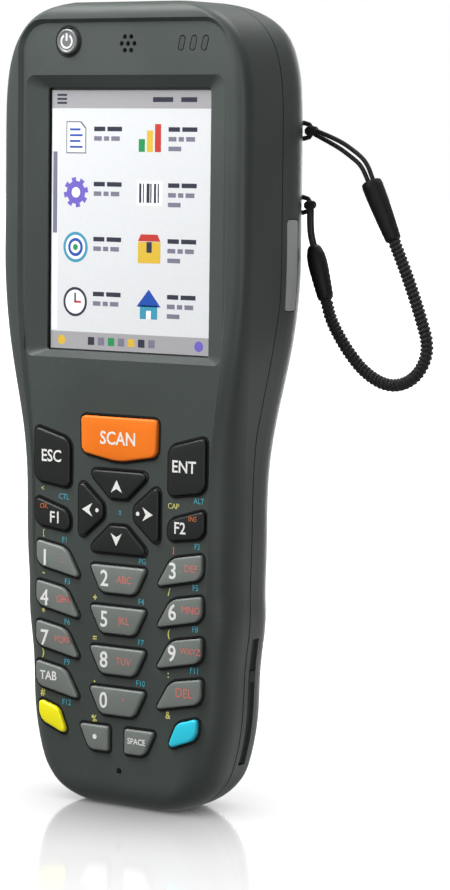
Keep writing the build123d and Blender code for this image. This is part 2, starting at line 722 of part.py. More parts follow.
def main_board():
    grip = box(-MAIN_BOARD_GRIP / 2, MAIN_BOARD_GRIP / 2, MAIN_BOARD_Y, MAIN_BOARD_BACK_Y,
               MAIN_BOARD_BOTTOM, MAIN_BOARD_STEP)
    head = box(-MAIN_BOARD_HEAD / 2, MAIN_BOARD_HEAD / 2, MAIN_BOARD_Y, MAIN_BOARD_BACK_Y,
               MAIN_BOARD_STEP, MAIN_BOARD_TOP)
    return grip + head


def housing_screws():
    screws = []
    for x, z in screws_xz():
        seat = screw_seat_y(z)
        shank = along_y(SCREW_RADIUS, x, z, seam_at(z) - SCREW_BITE, seat)
        head = along_y(SCREW_HEAD_RADIUS, x, z, seat, seat + SCREW_HEAD_HEIGHT)
        socket = slab(Pos(x, z) * RegularPolygon(SCREW_HEAD_RADIUS / 2, 6),
                      seat + SCREW_HEAD_HEIGHT / 2, seat + SCREW_HEAD_HEIGHT)
        screws.append(shank + head - socket)
    return Compound(children=screws)


def trimmed(form, near_y, far_y, low, high):
    """The part of a form between two depths and two heights."""
    return form & box(-HEAD_WIDTH, HEAD_WIDTH, near_y, far_y, low, high)


def touch_glass():
    outline = Pos(0, SCREEN_MIDDLE) * Rectangle(GLASS_WIDTH, GLASS_HEIGHT)
    return slab(outline, GLASS_Y, LCD_Y)


def screen_gasket():
    ring = Rectangle(GLASS_WIDTH, GLASS_HEIGHT) - Rectangle(WINDOW_WIDTH + FIT, WINDOW_HEIGHT + FIT)
    return slab(Pos(0, SCREEN_MIDDLE) * ring, LIP_BACK_Y, GLASS_Y)


def lcd_module():
    return slab(screen_box(0), LCD_Y, LCD_BACK_Y)


def lcd_cushion():
    """A foam pad that keeps the screen module off the main board."""
    outline = Pos(0, SCREEN_MIDDLE) * Rectangle(MAIN_BOARD_HEAD - 4, WINDOW_HEIGHT - 4)
    return slab(outline, LCD_BACK_Y, MAIN_BOARD_Y)


def route_on(points, y):
    return [(x, y, z) for x, z in points]


def bend_radii(points):
    """The largest tangent arcs that the runs beside each bend of a route leave room for."""
    radii = []
    for a, b, c in zip(points, points[1:], points[2:]):
        run_in, run_out = Vector(*b) - Vector(*a), Vector(*c) - Vector(*b)
        half_turn = math.radians(run_in.get_angle(run_out) / 2)
        radii.append(0.45 * min(run_in.length, run_out.length) / math.tan(half_turn))
    return radii


def tube(name, route, radius):
    """A cord's tube along its route, whose bends are printed to be checked."""
    points = route_on(route, TETHER_Y)
    radii = bend_radii(points)
    path = FilletPolyline(*points, radius=radii)
    start = Plane(path @ 0, z_dir=path % 0)
    solid = sweep(start * Circle(radius), path=path)
    share = solid.volume / (math.pi * radius**2 * path.length)
    print(name, "length", round(path.length, 1), "volume share", round(share, 4),
          "radii", [round(r, 1) for r in radii])
    return solid


def sleeve(wide_end, narrow_end):
    """A tapered sleeve over the end of the tether's cord."""
    start, end = route_on([wide_end, narrow_end], TETHER_Y)
    axis = Vector(*end) - Vector(*start)
    place = Plane(start, z_dir=axis)
    wide = place * Circle(SLEEVE_MOUTH)
    narrow = place.offset(axis.length) * Circle(SLEEVE_TAIL)
    return loft([wide.face(), narrow.face()], ruled=True)


def knot(place, radius):
    return Pos(place[0], TETHER_Y, place[1]) * Sphere(radius)


def tether():
    pieces = {}
    pair = tube("upper string", UPPER_STRING_ROUTE, PAIR_RADIUS)
    pieces["tether_upper_string"] = pair + knot(UPPER_KNOT, KNOT_RADIUS)
    pieces["tether_upper_sleeve"] = sleeve(UPPER_STRING_ROUTE[-1], CORD_ROUTE[0])
    pieces["tether_cord"] = tube("cord", CORD_ROUTE, CORD_RADIUS)
    pieces["tether_lower_sleeve"] = sleeve(LOWER_STRING_ROUTE[0], CORD_ROUTE[-1])
    string = tube("lower string", LOWER_STRING_ROUTE, STRING_RADIUS)
    pieces["tether_lower_string"] = string + knot(LOWER_KNOT, LOWER_KNOT_RADIUS)
    return pieces


def led_light_pipes():
    pipes = [slab(window, PANEL_Y, INNER_FRONT_Y + LED_PIPE) for window in led_windows(0)]
    return Compound(children=pipes)


def earpiece():
    near = INNER_FRONT_Y + FIT
    return along_y(EARPIECE_RADIUS, EARPIECE_X, EARPIECE_Z, near, near + EARPIECE_THICKNESS)


def microphone():
    near = INNER_FRONT_Y + FIT
    return along_y(MIC_RADIUS, MIC_X, MIC_Z, near, near + MIC_THICKNESS)


def backup_cell():
    return along_y(CELL_RADIUS, CELL_X, CELL_Z, MAIN_BOARD_BACK_Y, MAIN_BOARD_BACK_Y + CELL_HEIGHT)


def card_socket():
    """The metal socket on the main board that holds the memory card."""
    card = memory_card().bounding_box()
    middle_y = CARD_Y + COVER_THICKNESS / 2
    back = middle_y + CARD_THICKNESS / 2 + SOCKET_WALL
    body = box(card.min.X, card.max.X - SOCKET_MOUTH, MAIN_BOARD_BACK_Y, back,
               card.min.Z - SOCKET_WALL, card.max.Z + SOCKET_WALL)
    hollow = box(card.min.X - FIT / 2, card.max.X, card.min.Y - FIT / 2, card.max.Y + FIT / 2,
                 card.min.Z - FIT / 2, card.max.Z + FIT / 2)
    return body - hollow


def board_connector():
    return box(-CONNECTOR_WIDTH / 2, CONNECTOR_WIDTH / 2, KEYPAD_BOARD_Y + BOARD_THICKNESS,
               MAIN_BOARD_Y, CONNECTOR_Z - 2, CONNECTOR_Z + 2)


def chips():
    """The processor, the memory and the radio on the back of the main board."""
    places = [(-7, 102, 12), (9, 98, 9), (-10, 86, 8)]
    parts = []
    for x, z, side in places:
        parts.append(box(x - side / 2, x + side / 2, MAIN_BOARD_BACK_Y, MAIN_BOARD_BACK_Y + 1.2,
                         z - side / 2, z + side / 2))
    return parts


def build():
    keys = key_outlines()
    outer = body_loft()
    inner = body_loft(WALL)
    inside = body_loft(WALL + FIT)
    seal = housing_seal()
    pieces = {
        "front_housing": front_housing(outer, inner, keys) - seal,
        "rear_housing": rear_housing(outer, inner) - seal,
        "housing_seal": seal,
        "housing_screws": housing_screws(),
        "screen_gasket": screen_gasket(),
        "touch_glass": touch_glass(),
        "lcd_module": lcd_module(),
        "lcd_cushion": lcd_cushion(),
        "keypad_mat": trimmed(inside, MAT_Y, KEYPAD_BOARD_Y, MAT_BOTTOM, MAT_TOP),
        "keypad_board": trimmed(inside, KEYPAD_BOARD_Y, KEYPAD_BOARD_Y + BOARD_THICKNESS,
                                MAT_BOTTOM, MAT_TOP),
        "power_button": power_button(),
        "led_light_pipes": led_light_pipes(),
        "earpiece": earpiece(),
        "microphone": microphone(),
        "main_board": Compound(children=[main_board(), board_connector(), *chips()]),
        "backup_cell": backup_cell(),
        "scan_engine": scan_engine(),
        "scan_window": scan_window(),
        "rear_speaker": rear_speaker(),
        "side_trigger_left": side_trigger(-1, outer),
        "side_trigger_right": side_trigger(1, outer),
        "switches": switches(),
        "battery_pack": battery_pack(),
        "battery_door": battery_door(outer, inner),
        "battery_door_latch": battery_door_latch(outer),
        "card_socket": card_socket(),
        "memory_card": memory_card(),
        "card_cover": card_cover(outer),
        "dock_connector": Compound(children=[dock_connector(), *dock_contacts()]),
    }
    for name, outline in keys.items():
        pieces["key_" + name] = key_cap(outline)
    pieces.update(tether())
    return pieces


if __name__ == "__main__":
    os.makedirs("parts", exist_ok=True)
    for name, piece in build().items():
        export_step(piece, os.path.join("parts", name + ".step"))
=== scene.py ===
# %% [markdown]
# # A hand-held barcode terminal
# The object is a pocket computer with a display, a keypad and a scan engine.
# Its exact solids come from a CAD model. This lesson dresses that model:
# it gives each part a finish, rebuilds the keys, prints their legends, lights
# the display and winds the tether.

# %% The frame and the units
import math

import bmesh
import bpy
from mathutils import Matrix, Vector


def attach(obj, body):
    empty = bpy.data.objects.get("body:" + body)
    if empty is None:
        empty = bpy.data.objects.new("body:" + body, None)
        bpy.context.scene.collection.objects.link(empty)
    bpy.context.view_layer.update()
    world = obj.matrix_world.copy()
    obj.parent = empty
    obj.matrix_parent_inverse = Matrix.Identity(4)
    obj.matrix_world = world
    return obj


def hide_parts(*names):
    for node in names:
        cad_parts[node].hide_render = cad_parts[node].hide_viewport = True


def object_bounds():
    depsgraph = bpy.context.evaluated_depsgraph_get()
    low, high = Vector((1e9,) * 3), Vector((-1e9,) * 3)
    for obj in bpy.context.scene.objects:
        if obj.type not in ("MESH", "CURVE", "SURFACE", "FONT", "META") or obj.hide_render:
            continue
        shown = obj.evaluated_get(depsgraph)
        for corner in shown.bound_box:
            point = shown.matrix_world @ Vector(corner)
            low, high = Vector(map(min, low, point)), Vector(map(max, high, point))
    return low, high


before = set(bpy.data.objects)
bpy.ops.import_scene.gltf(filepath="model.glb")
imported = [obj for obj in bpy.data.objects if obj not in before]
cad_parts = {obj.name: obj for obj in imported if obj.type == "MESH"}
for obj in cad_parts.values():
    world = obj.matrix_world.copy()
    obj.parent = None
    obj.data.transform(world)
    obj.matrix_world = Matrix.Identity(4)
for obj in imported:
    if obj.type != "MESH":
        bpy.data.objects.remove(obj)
cad_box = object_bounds()
MM = 0.001

# %% [markdown]
# ## Writing materials as expressions
# A shader is a graph, and a graph is tedious to write node by node. Here a
# small class stands for one socket, so `1 - mask * 0.2` adds its own Math
# nodes. A second class holds the material that is being mixed.


# %% A socket that can be added and multiplied
class Signal:
    def __init__(self, paint, socket):
        self.paint = paint
        self.socket = socket

    def math(self, operation, first, second):
        return self.paint.node("ShaderNodeMath", {"operation": operation}, {0: first, 1: second})

    def __add__(self, other):
        return self.math("ADD", self, other)

    def __sub__(self, other):
        return self.math("SUBTRACT", self, other)

    def __rsub__(self, other):
        return self.math("SUBTRACT", other, self)

    def __mul__(self, other):
        return self.math("MULTIPLY", self, other)

    __radd__ = __add__
    __rmul__ = __mul__


# %% A material under the brush
def tone(red, green, blue):
    """A screen colour, 0 to 255, as the linear colour that a shader takes."""
    shares = [value / 255 for value in (red, green, blue)]
    linear = [s / 12.92 if s <= 0.04045 else ((s + 0.055) / 1.055) ** 2.4 for s in shares]
    return (*linear, 1.0)


def shade(colour, share, lift=0.0):
    """A lighter or darker colour of the same hue."""
    return (*(min(1, channel * share + lift) for channel in colour[:3]), 1.0)


class Paint:
    def __init__(self, name):
        self.material = bpy.data.materials.new(name)
        self.material.use_nodes = True
        self.nodes = self.material.node_tree.nodes
        self.shader = self.nodes["Principled BSDF"]

    def node(self, kind, settings=None, sockets=None, output=0):
        made = self.nodes.new(kind)
        for key, value in (settings or {}).items():
            if key == "stops":
                for element, (place, colour) in zip(made.color_ramp.elements, value):
                    element.position, element.color = place, colour
            else:
                setattr(made, key, value)
        for key, value in (sockets or {}).items():
            self.feed(made.inputs[key], value)
        return Signal(self, made.outputs[output])

    def feed(self, socket, value):
        if isinstance(value, Signal):
            self.material.node_tree.links.new(value.socket, socket)
        else:
            socket.default_value = value

    def set(self, **sockets):
        for key, value in sockets.items():
            self.feed(self.shader.inputs[key.replace("_", " ").title().replace("Ior", "IOR")], value)

    def place(self):
        return self.node("ShaderNodeTexCoord", output=3)

    def noise(self, scale, detail=2.0, where=None):
        return self.node("ShaderNodeTexNoise", None,
                         {"Vector": where or self.place(), "Scale": scale, "Detail": detail})

    def ramp(self, signal, low, high, dark=0.0, light=1.0):
        stops = [(low, (dark, dark, dark, 1)), (high, (light, light, light, 1))]
        return self.node("ShaderNodeValToRGB", {"stops": stops}, {0: signal})

    def blend(self, share, first, second):
        return self.node("ShaderNodeMix", {"data_type": "RGBA"},
                         {0: share, 6: first, 7: second}, output=2)

    def bump(self, height, strength, depth):
        normal = self.node("ShaderNodeBump", None,
                           {"Strength": strength, "Distance": depth, "Height": height})
        self.feed(self.shader.inputs["Normal"], normal)


# %% [markdown]
# ## Moulded plastic
# The housing is injection moulded, and its mould was spark-eroded, which
# leaves a fine, even grain. Hands polish it a little in broad patches. Two
# noises do this: a fine one lifts the surface, and a wide one shifts the
# colour and the gloss. Sparse tiny scuffs keep it from looking new.

# %% The plastic recipe
PATCHES_PER_METRE = 38
SCUFFS_PER_METRE = 420
GRAIN_DEPTH = 0.05 * MM


def moulded(name, colour, roughness=0.48, grain=0.35, grain_size=0.45, worn=0.12, specular=0.5):
    paint = Paint(name)
    wide = paint.noise(PATCHES_PER_METRE, 3)
    fine = paint.noise(1 / (grain_size * MM), 2)
    scuff = paint.ramp(paint.noise(SCUFFS_PER_METRE, 5), 0.66, 0.72)
    base = paint.blend(paint.ramp(wide, 0.35, 0.65), shade(colour, 0.93), shade(colour, 1.08, 0.001))
    paint.set(base_color=paint.blend(scuff * worn, base, shade(colour, 1.6, 0.02)),
              roughness=wide * 0.16 + (roughness - 0.08) + fine * 0.05,
              specular_ior_level=specular)
    paint.bump(fine + scuff * 0.4, grain, GRAIN_DEPTH)
    return paint.material


FINISHES = {
    "body_plastic": moulded("body_plastic", tone(60, 66, 63), 0.44, 0.4, specular=0.26),
    "number_key": moulded("number_key", tone(110, 116, 112), 0.42, 0.15, 0.3),
    "black_key": moulded("black_key", tone(23, 25, 25), 0.42, 0.18, 0.3, specular=0.3),
    "orange_key": moulded("orange_key", tone(238, 120, 30), 0.45, 0.12, 0.3, specular=0.25),
    "yellow_key": moulded("yellow_key", tone(255, 244, 22), 0.4, 0.12, 0.3),
    "blue_key": moulded("blue_key", tone(42, 204, 230), 0.4, 0.12, 0.3),
    "trigger_grey": moulded("trigger_grey", tone(182, 185, 184), 0.5, 0.25),
    "rubber": moulded("rubber", tone(42, 45, 44), 0.75, 0.5, 0.25, worn=0.2, specular=0.3),
    "module_black": moulded("module_black", tone(15, 15, 16), 0.5, 0.3, specular=0.2),
    "battery_wrap": moulded("battery_wrap", tone(58, 61, 66), 0.36, 0.08, 0.6),
    "light_pipe": moulded("light_pipe", tone(54, 59, 57), 0.3, 0.05),
    "tether_rubber": moulded("tether_rubber", tone(12, 12, 13), 0.5, 0.3, 0.2, specular=0.2),
}
print("plastic finishes:", len(FINISHES))

# %% [markdown]
# ## Metal, glass and board
# The screws and contacts are bare metal: full metallic, with brushed
# streaks made by a noise that is squeezed along one axis. The touch glass
# is dark and glossy, because what one sees through it, the picture, is a
# layer of its own. The circuit board is green lacquer over copper.

# %% The recipes for metal, glass and board
STREAKS_PER_METRE = (300.0, 300.0, 4000.0)
SMUDGES_PER_METRE = 60


def brushed(name, colour, roughness, metallic=1.0):
    paint = Paint(name)
    streaks = paint.node("ShaderNodeMapping", None,
                         {"Vector": paint.place(), "Scale": STREAKS_PER_METRE})
    grain = paint.noise(1.0, 3, streaks)
    paint.set(base_color=paint.blend(grain, shade(colour, 0.8), colour), metallic=metallic,
              roughness=grain * 0.2 + (roughness - 0.1))
    paint.bump(grain, 0.15, 0.02 * MM)
    return paint.material


def glassy(name, colour, roughness, smudge=0.05):
    paint = Paint(name)
    film = paint.ramp(paint.noise(SMUDGES_PER_METRE, 4), 0.4, 0.7)
    paint.set(base_color=paint.blend(film, colour, shade(colour, 1.3, 0.003)),
              roughness=film * smudge + roughness, coat_weight=0.3)
    return paint.material


def lacquered(name, colour, tracks, cell):
    paint = Paint(name)
    bricks = paint.node("ShaderNodeTexVoronoi", {"distance": "MANHATTAN"},
                        {"Vector": paint.place(), "Scale": 1 / (cell * MM)})
    lines = paint.ramp(bricks, 0.32, 0.4)
    paint.set(base_color=paint.blend(lines, colour, tracks), roughness=0.35 + lines * 0.15)
    paint.bump(lines, 0.3, 0.03 * MM)
    return paint.material


FINISHES.update({
    "silver": brushed("silver", tone(118, 121, 122), 0.45, 0.5),
    "screw_steel": brushed("screw_steel", tone(150, 152, 155), 0.35),
    "contact_gold": brushed("contact_gold", tone(214, 172, 84), 0.3),
    "screen_glass": glassy("screen_glass", tone(28, 30, 33), 0.12),
    "dark_glass": glassy("dark_glass", tone(38, 8, 12), 0.08),
    "board": lacquered("board", tone(20, 74, 48), tone(46, 112, 74), 1.6),
})
print("finishes so far:", len(FINISHES))

# %% [markdown]
# ## Woven cord
# The tether is a thin black cord. Its strands run round it, so the pattern
# follows the piece's own UV map and not the room.


# %% The cord finish
def woven(name, colour, turns, runs):
    paint = Paint(name)
    uv = paint.node("ShaderNodeTexCoord", output=2)
    spun = paint.node("ShaderNodeMapping", None, {"Vector": uv, "Scale": (turns, runs, 1.0)})
    strands = paint.node("ShaderNodeTexWave", {"bands_direction": "DIAGONAL"},
                         {"Vector": spun, "Scale": 1.0, "Distortion": 0.6, "Detail": 2.0})
    paint.set(base_color=paint.blend(strands, colour, shade(colour, 2.0, 0.01)),
              roughness=0.75 - strands * 0.2, sheen_weight=0.1, specular_ior_level=0.25)
    paint.bump(strands, 0.5, 0.08 * MM)
    return paint.material


FINISHES["tether_black"] = woven("tether_black", tone(11, 11, 12), 3.0, 60.0)
print("finishes in all:", len(FINISHES))

# %% [markdown]
# ## Dressing the CAD parts
# Each CAD part arrives with a plain material whose name says what it is
# made of. The finish of that name takes its place, so one recipe serves
# every part of the same stuff.

# %% One finish for each slot
for name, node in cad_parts.items():
    for slot in node.material_slots:
        finish = slot.material.name.split(".")[0]
        if finish in FINISHES:
            slot.material = FINISHES[finish]
        else:
            print("no finish for", finish, "on", name)
print("dressed parts:", len(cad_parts))

# %% [markdown]
# ## The tether
# A cord is one route of fixed length. Its control points make one smooth
# curve, and everything on it follows the points of that curve: two thin
# strings, a rubber sleeve, the wound cord, another sleeve and a short pair
# of strings. The route lies in one upright plane near the housing's back, so
# the frame of each ring is simple: across the route, the plane's normal, and
# along the route.

# %% The route and its length
TETHER_Y = 9.4 * MM
STRING_TURNS = [(28.6, 128.8), (33.4, 127.0), (37.0, 124.9), (39.5, 123.06), (41.0, 119.9)]
CORD_TURNS = [(46.2, 109.0), (49.2, 102.68), (52.2, 95.2), (54.3, 89.0), (51.6, 83.6),
              (46.2, 81.6), (40.6, 83.9), (36.2, 88.4), (32.74, 93.56), (31.6, 97.4)]
RETURN_TURNS = [(30.1, 102.5), (28.6, 107.6), (27.75, 110.5), (27.8, 114.4)]
SLEEVE_TURNS = [(43.6, 114.45)]
TETHER_TURNS = STRING_TURNS + SLEEVE_TURNS + CORD_TURNS + RETURN_TURNS


def curve_points(name, turns):
    """The points of one smooth curve that these turns steer."""
    line = bpy.data.curves.new(name, "CURVE")
    line.dimensions = "3D"
    line.resolution_u = 24
    spline = line.splines.new("NURBS")
    spline.points.add(len(turns) - 1)
    for point, (x, z) in zip(spline.points, turns):
        point.co = (x * MM, TETHER_Y, z * MM, 1)
    spline.order_u = 3
    spline.use_endpoint_u = True
    bare = bpy.data.objects.new(name, line)
    bpy.context.scene.collection.objects.link(bare)
    mesh = bpy.data.meshes.new_from_object(bare)
    points = [vertex.co.copy() for vertex in mesh.vertices]
    bpy.data.objects.remove(bare)
    return points


route = curve_points("tether_route", TETHER_TURNS)
reached = [0.0]
for before, after in zip(route, route[1:]):
    reached.append(reached[-1] + (after - before).length)
TETHER_LENGTH = reached[-1]
print("tether length in mm:", round(TETHER_LENGTH / MM, 1), "points:", len(route))


# %% Placing things along the route
def along(distance):
    """Where the route is after this distance, and its direction there."""
    distance = min(max(distance, 0.0), TETHER_LENGTH - 1e-7)
    index = next(i for i in range(len(reached) - 1) if reached[i + 1] > distance)
    share = (distance - reached[index]) / (reached[index + 1] - reached[index])
    back, ahead = route[max(index - 1, 0)], route[min(index + 2, len(route) - 1)]
    return route[index].lerp(route[index + 1], share), (ahead - back).normalized()


def distance_of(x, z):
    """How far along the route its nearest point to (x, z) lies."""
    goal = Vector((x * MM, TETHER_Y, z * MM))
    index = min(range(len(route)), key=lambda i: (route[i] - goal).length)
    return reached[index]


def ring_frame(distance, shift=(0.0, 0.0)):
    """A ring's place: its own X runs across the route, its own Y along the plane's normal."""
    middle, ahead = along(distance)
    normal = Vector((0, 1, 0))
    across = normal.cross(ahead).normalized()
    turned = Matrix((across, normal, ahead)).transposed().to_4x4()
    return Matrix.Translation(middle + across * shift[0] + normal * shift[1]) @ turned


def facing(place, ahead):
    """A place whose own Z axis points ahead."""
    return Matrix.Translation(place) @ ahead.to_track_quat("Z", "Y").to_matrix().to_4x4()


# %% From frames to a finished piece
def sweep(shape, frames, radii, sides=12):
    """Adds a closed tube through these frames, one circle after another."""
    rings = []
    for matrix, radius in zip(frames, radii):
        made = bmesh.ops.create_circle(shape, segments=sides, radius=radius, matrix=matrix)
        rings.append(list({edge for vertex in made["verts"] for edge in vertex.link_edges}))
    for first, second in zip(rings, rings[1:]):
        bmesh.ops.bridge_loops(shape, edges=first + second)
    for end in (rings[0], rings[-1]):
        bmesh.ops.contextual_create(shape, geom=end)


def finish_piece(name, shape, materials, body, smooth=True):
    """Writes a bmesh into an object that rides on its body."""
    bmesh.ops.recalc_face_normals(shape, faces=shape.faces)
    mesh = bpy.data.meshes.new(name)
    shape.to_mesh(mesh)
    shape.free()
    for material in materials:
        mesh.materials.append(material)
    mesh.polygons.foreach_set("use_smooth", [smooth] * len(mesh.polygons))
    piece = bpy.data.objects.new(name, mesh)
    bpy.context.scene.collection.objects.link(piece)
    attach(piece, body)
    return piece


# %% Where each piece of the tether begins and ends
SLEEVE_TOP = distance_of(*STRING_TURNS[-1])
CORD_TOP = distance_of(*CORD_TURNS[0])
CORD_END = distance_of(*CORD_TURNS[-1])
SLEEVE_END = distance_of(*RETURN_TURNS[1])
CORE_RADIUS = 0.98 * MM
CORE_STEP = 0.8 * MM
WRAP_RADIUS = 0.36 * MM
WRAP_PITCH = 0.86 * MM
WRAP_STEPS = 9
STRING_RADIUS = 0.45 * MM
UPPER_STEP, LOWER_STEP = 0.7 * MM, 0.4 * MM
TUCK = 1.5 * MM
WEAVE_WIDTH, WEAVE_LENGTH = 2.6 * MM, 60 * MM
print("the pieces meet after, in mm:",
      [round(d / MM, 1) for d in (SLEEVE_TOP, CORD_TOP, CORD_END, SLEEVE_END)])


def steps(start, end, gap):
    """Distances from start to end, about one gap apart."""
    count = max(2, round((end - start) / gap))
    return [start + (end - start) * i / count for i in range(count + 1)]


# %% The core and the wrap that winds round it
tether = bmesh.new()
core = steps(SLEEVE_TOP, SLEEVE_END, CORE_STEP)
sweep(tether, [ring_frame(d) for d in core], [CORE_RADIUS] * len(core))
wraps = round((CORD_END - CORD_TOP) / WRAP_PITCH)
lift = CORE_RADIUS - WRAP_RADIUS * 0.15
helix, wrap_frames = [], []
for i in range(wraps * WRAP_STEPS + 1):
    d = CORD_TOP + (CORD_END - CORD_TOP) * i / (wraps * WRAP_STEPS)
    angle = math.tau * i / WRAP_STEPS
    helix.append(ring_frame(d) @ Vector((math.cos(angle) * lift, math.sin(angle) * lift, 0)))
for i, point in enumerate(helix):
    ahead = helix[min(i + 1, len(helix) - 1)] - helix[max(i - 1, 0)]
    wrap_frames.append(facing(point, ahead))
sweep(tether, wrap_frames, [WRAP_RADIUS] * len(wrap_frames), 6)
print("wraps round the cord:", wraps)

# %% The strings, side by side above and one behind the other below, and the weave
for side in (-1, 1):
    path = steps(0, SLEEVE_TOP + TUCK, UPPER_STEP)
    spread = [side * STRING_RADIUS * (0.9 + 0.5 * math.sin(math.pi * min(d / SLEEVE_TOP, 1)))
              for d in path]
    rise = [side * STRING_RADIUS * 0.5 * math.cos(3 * d / SLEEVE_TOP) for d in path]
    sweep(tether, [ring_frame(d, shift) for d, *shift in zip(path, spread, rise)],
          [STRING_RADIUS] * len(path), 8)
for side in (-1, 1):
    path = steps(SLEEVE_END - TUCK, TETHER_LENGTH, LOWER_STEP)
    sweep(tether, [ring_frame(d, (0.0, side * STRING_RADIUS)) for d in path],
          [STRING_RADIUS] * len(path), 10)
tether_piece = finish_piece("tether", tether, [FINISHES["tether_black"]], "terminal")
unwrapped = tether_piece.data.uv_layers.new(name="UVMap")
for loop in tether_piece.data.loops:
    point = tether_piece.data.vertices[loop.vertex_index].co
    unwrapped.data[loop.index].uv = (point.y / WEAVE_WIDTH, (point.x - point.z) / WEAVE_LENGTH)
print("faces of the tether:", len(tether_piece.data.polygons))

# %% [markdown]
# ## Sleeves and knots
# Two moulded rubber collars clamp the strings to the cord. A collar is round,
# so circles of changing radius along the route make it, with shallow grooves
# where it bends. A knot could be one long curve that is really tied, but it
# only shows as a small tangle. Three tilted loops of string, and two ends
# that run into the holes of the eyelet, look the same and stay simple.

# %% The rubber sleeves
GROOVE_DEPTH = 0.05
GROOVED_FROM, GROOVED_TO = 0.5, 0.95
STATION_STEPS = 6


def sleeve(name, start, end, stations, node):
    """A tapered collar, given as (share of its length, radius in mm)."""
    shape = bmesh.new()
    frames = [ring_frame(start + (end - start) * share) for share, _ in stations]
    sweep(shape, frames, [radius * MM for _, radius in stations], 24)
    piece = finish_piece(name, shape, [FINISHES["tether_rubber"]], "terminal")
    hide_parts(node)
    return piece


def ribbed(profile, ribs):
    """A sleeve's profile with shallow grooves near its cord end."""
    stations = []
    for (start, first), (end, last) in zip(profile, profile[1:]):
        for i in range(STATION_STEPS):
            share = i / STATION_STEPS
            stations.append((start + (end - start) * share, first + (last - first) * share))
    stations.append(profile[-1])
    grooved = []
    for share, radius in stations:
        if GROOVED_FROM < share < GROOVED_TO:
            radius *= 1 - GROOVE_DEPTH * math.sin(math.tau * ribs * share) ** 8
        grooved.append((share, radius))
    return grooved


upper_sleeve = sleeve("tether_sleeve_upper", SLEEVE_TOP, CORD_TOP,
                      ribbed([(0.0, 1.5), (0.02, 1.88), (0.08, 2.0), (0.35, 1.95), (0.8, 1.68),
                              (0.97, 1.5), (1.0, 1.1)], 6), "tether_upper_sleeve")
lower_sleeve = sleeve("tether_sleeve_lower", SLEEVE_END, CORD_END,
                      ribbed([(0.0, 0.9), (0.04, 1.3), (0.16, 1.72), (0.3, 1.88), (0.6, 1.82),
                              (0.9, 1.6), (0.97, 1.45), (1.0, 1.1)], 5), "tether_lower_sleeve")
print("faces of the sleeves:", len(upper_sleeve.data.polygons), len(lower_sleeve.data.polygons))

# %% The knots at the eyelets
KNOT_LOOPS = [(0.5, 0.0, 0.62), (-0.6, 0.5, 0.6), (0.1, 1.4, 0.5)]
KNOT_STEPS = 20
EYELET_X = 24.6
EYELET_RISE = 1.6


def knot(name, x, z, radius, node):
    """Three turns of string pulled tight, with an end into each hole of the eyelet."""
    shape = bmesh.new()
    centre = Vector((x * MM, TETHER_Y, z * MM))
    for tilt, spin, share in KNOT_LOOPS:
        out = Matrix.Translation((radius * share * MM, 0, 0)) @ Matrix.Rotation(math.pi / 2, 4, "X")
        turned = (Matrix.Translation(centre) @ Matrix.Rotation(spin, 4, "Z")
                  @ Matrix.Rotation(tilt, 4, "X"))
        frames = [turned @ Matrix.Rotation(math.tau * i / KNOT_STEPS, 4, "Z") @ out
                  for i in range(KNOT_STEPS + 1)]
        sweep(shape, frames, [STRING_RADIUS] * len(frames), 8)
    for rise in (-EYELET_RISE, EYELET_RISE):
        inside = Vector((EYELET_X * MM, TETHER_Y, (z + rise) * MM))
        bend = Vector(((x - 0.1) * MM, TETHER_Y, (z + rise * 0.8) * MM))
        path = [centre, centre.lerp(bend, 0.5), centre.lerp(bend, 0.85).lerp(inside, 0.12),
                bend.lerp(inside, 0.45), inside]
        frames = [facing(point, path[min(i + 1, len(path) - 1)] - path[max(i - 1, 0)])
                  for i, point in enumerate(path)]
        sweep(shape, frames, [STRING_RADIUS] * len(frames), 8)
    piece = finish_piece(name, shape, [FINISHES["tether_black"]], "terminal")
    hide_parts(node)
    return piece


upper_knot = knot("tether_knot_upper", 27.8, 129.1, 1.5, "tether_upper_string")
lower_knot = knot("tether_knot_lower", 27.7, 115.2, 1.3, "tether_lower_string")
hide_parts("tether_cord")
print("faces of the knots:", len(upper_knot.data.polygons), len(lower_knot.data.polygons))

# %% [markdown]
# ## The keys
# A key is a hard cap on a rubber dome. Its outline is drawn as a few corners,
# each corner is rounded by a vertex bevel, the face is pulled forward, and the
# rim gets a soft edge. Seen close, the top of a cap swells a little, so planes
# cut it into a grid and each new point rises with its distance from the rim.
# Most keys on the left mirror those on the right.

# %% The outlines of the keys, in millimetres
ROW_PITCH = 7.8
LEAF = [(9.0, 0.0), (19.3, 2.0), (19.3, 6.7), (12.3, 5.5)]
LEAF_RADII = [0.5, 2.2, 0.6, 3.0]
BOWL = [(-6.6, 5.2), (-3.9, 0.0), (3.9, 0.0), (6.6, 5.2)]
BOWL_RADII = [0.6, 1.8, 1.8, 0.6]
TALL = [(11.5, 60.8), (19.8, 61.9), (19.8, 72.2), (11.5, 70.0)]
SHORT = [(11.5, 52.4), (19.7, 53.4), (19.7, 58.6), (11.5, 56.2)]
SIDE_RADII = [1.2, 2.2, 0.8, 2.2]
SHIFT = [(11.6, 12.9), (18.4, 15.4), (18.6, 19.4), (13.9, 18.0)]
SHIFT_RADII = [0.8, 2.6, 0.8, 2.0]
WORD = [(1.9, 10.9), (6.4, 10.9), (8.8, 15.7), (1.9, 15.7)]
WORD_RADII = [0.5, 1.8, 0.5, 0.5]
ARROW_RADII = [1.0, 1.3, 1.3, 1.0]
ROWS = [("1", "2", "3"), ("4", "5", "6"), ("7", "8", "9"), ("tab", "0", "delete")]
FIRST_SIDE, FIRST_MIDDLE = 43.6, 41.4


def flipped(points):
    """The same outline on the other side of the middle."""
    return [(-x, z) for x, z in points]


def lifted(points, rise):
    """The same outline, further up."""
    return [(x, z + rise) for x, z in points]


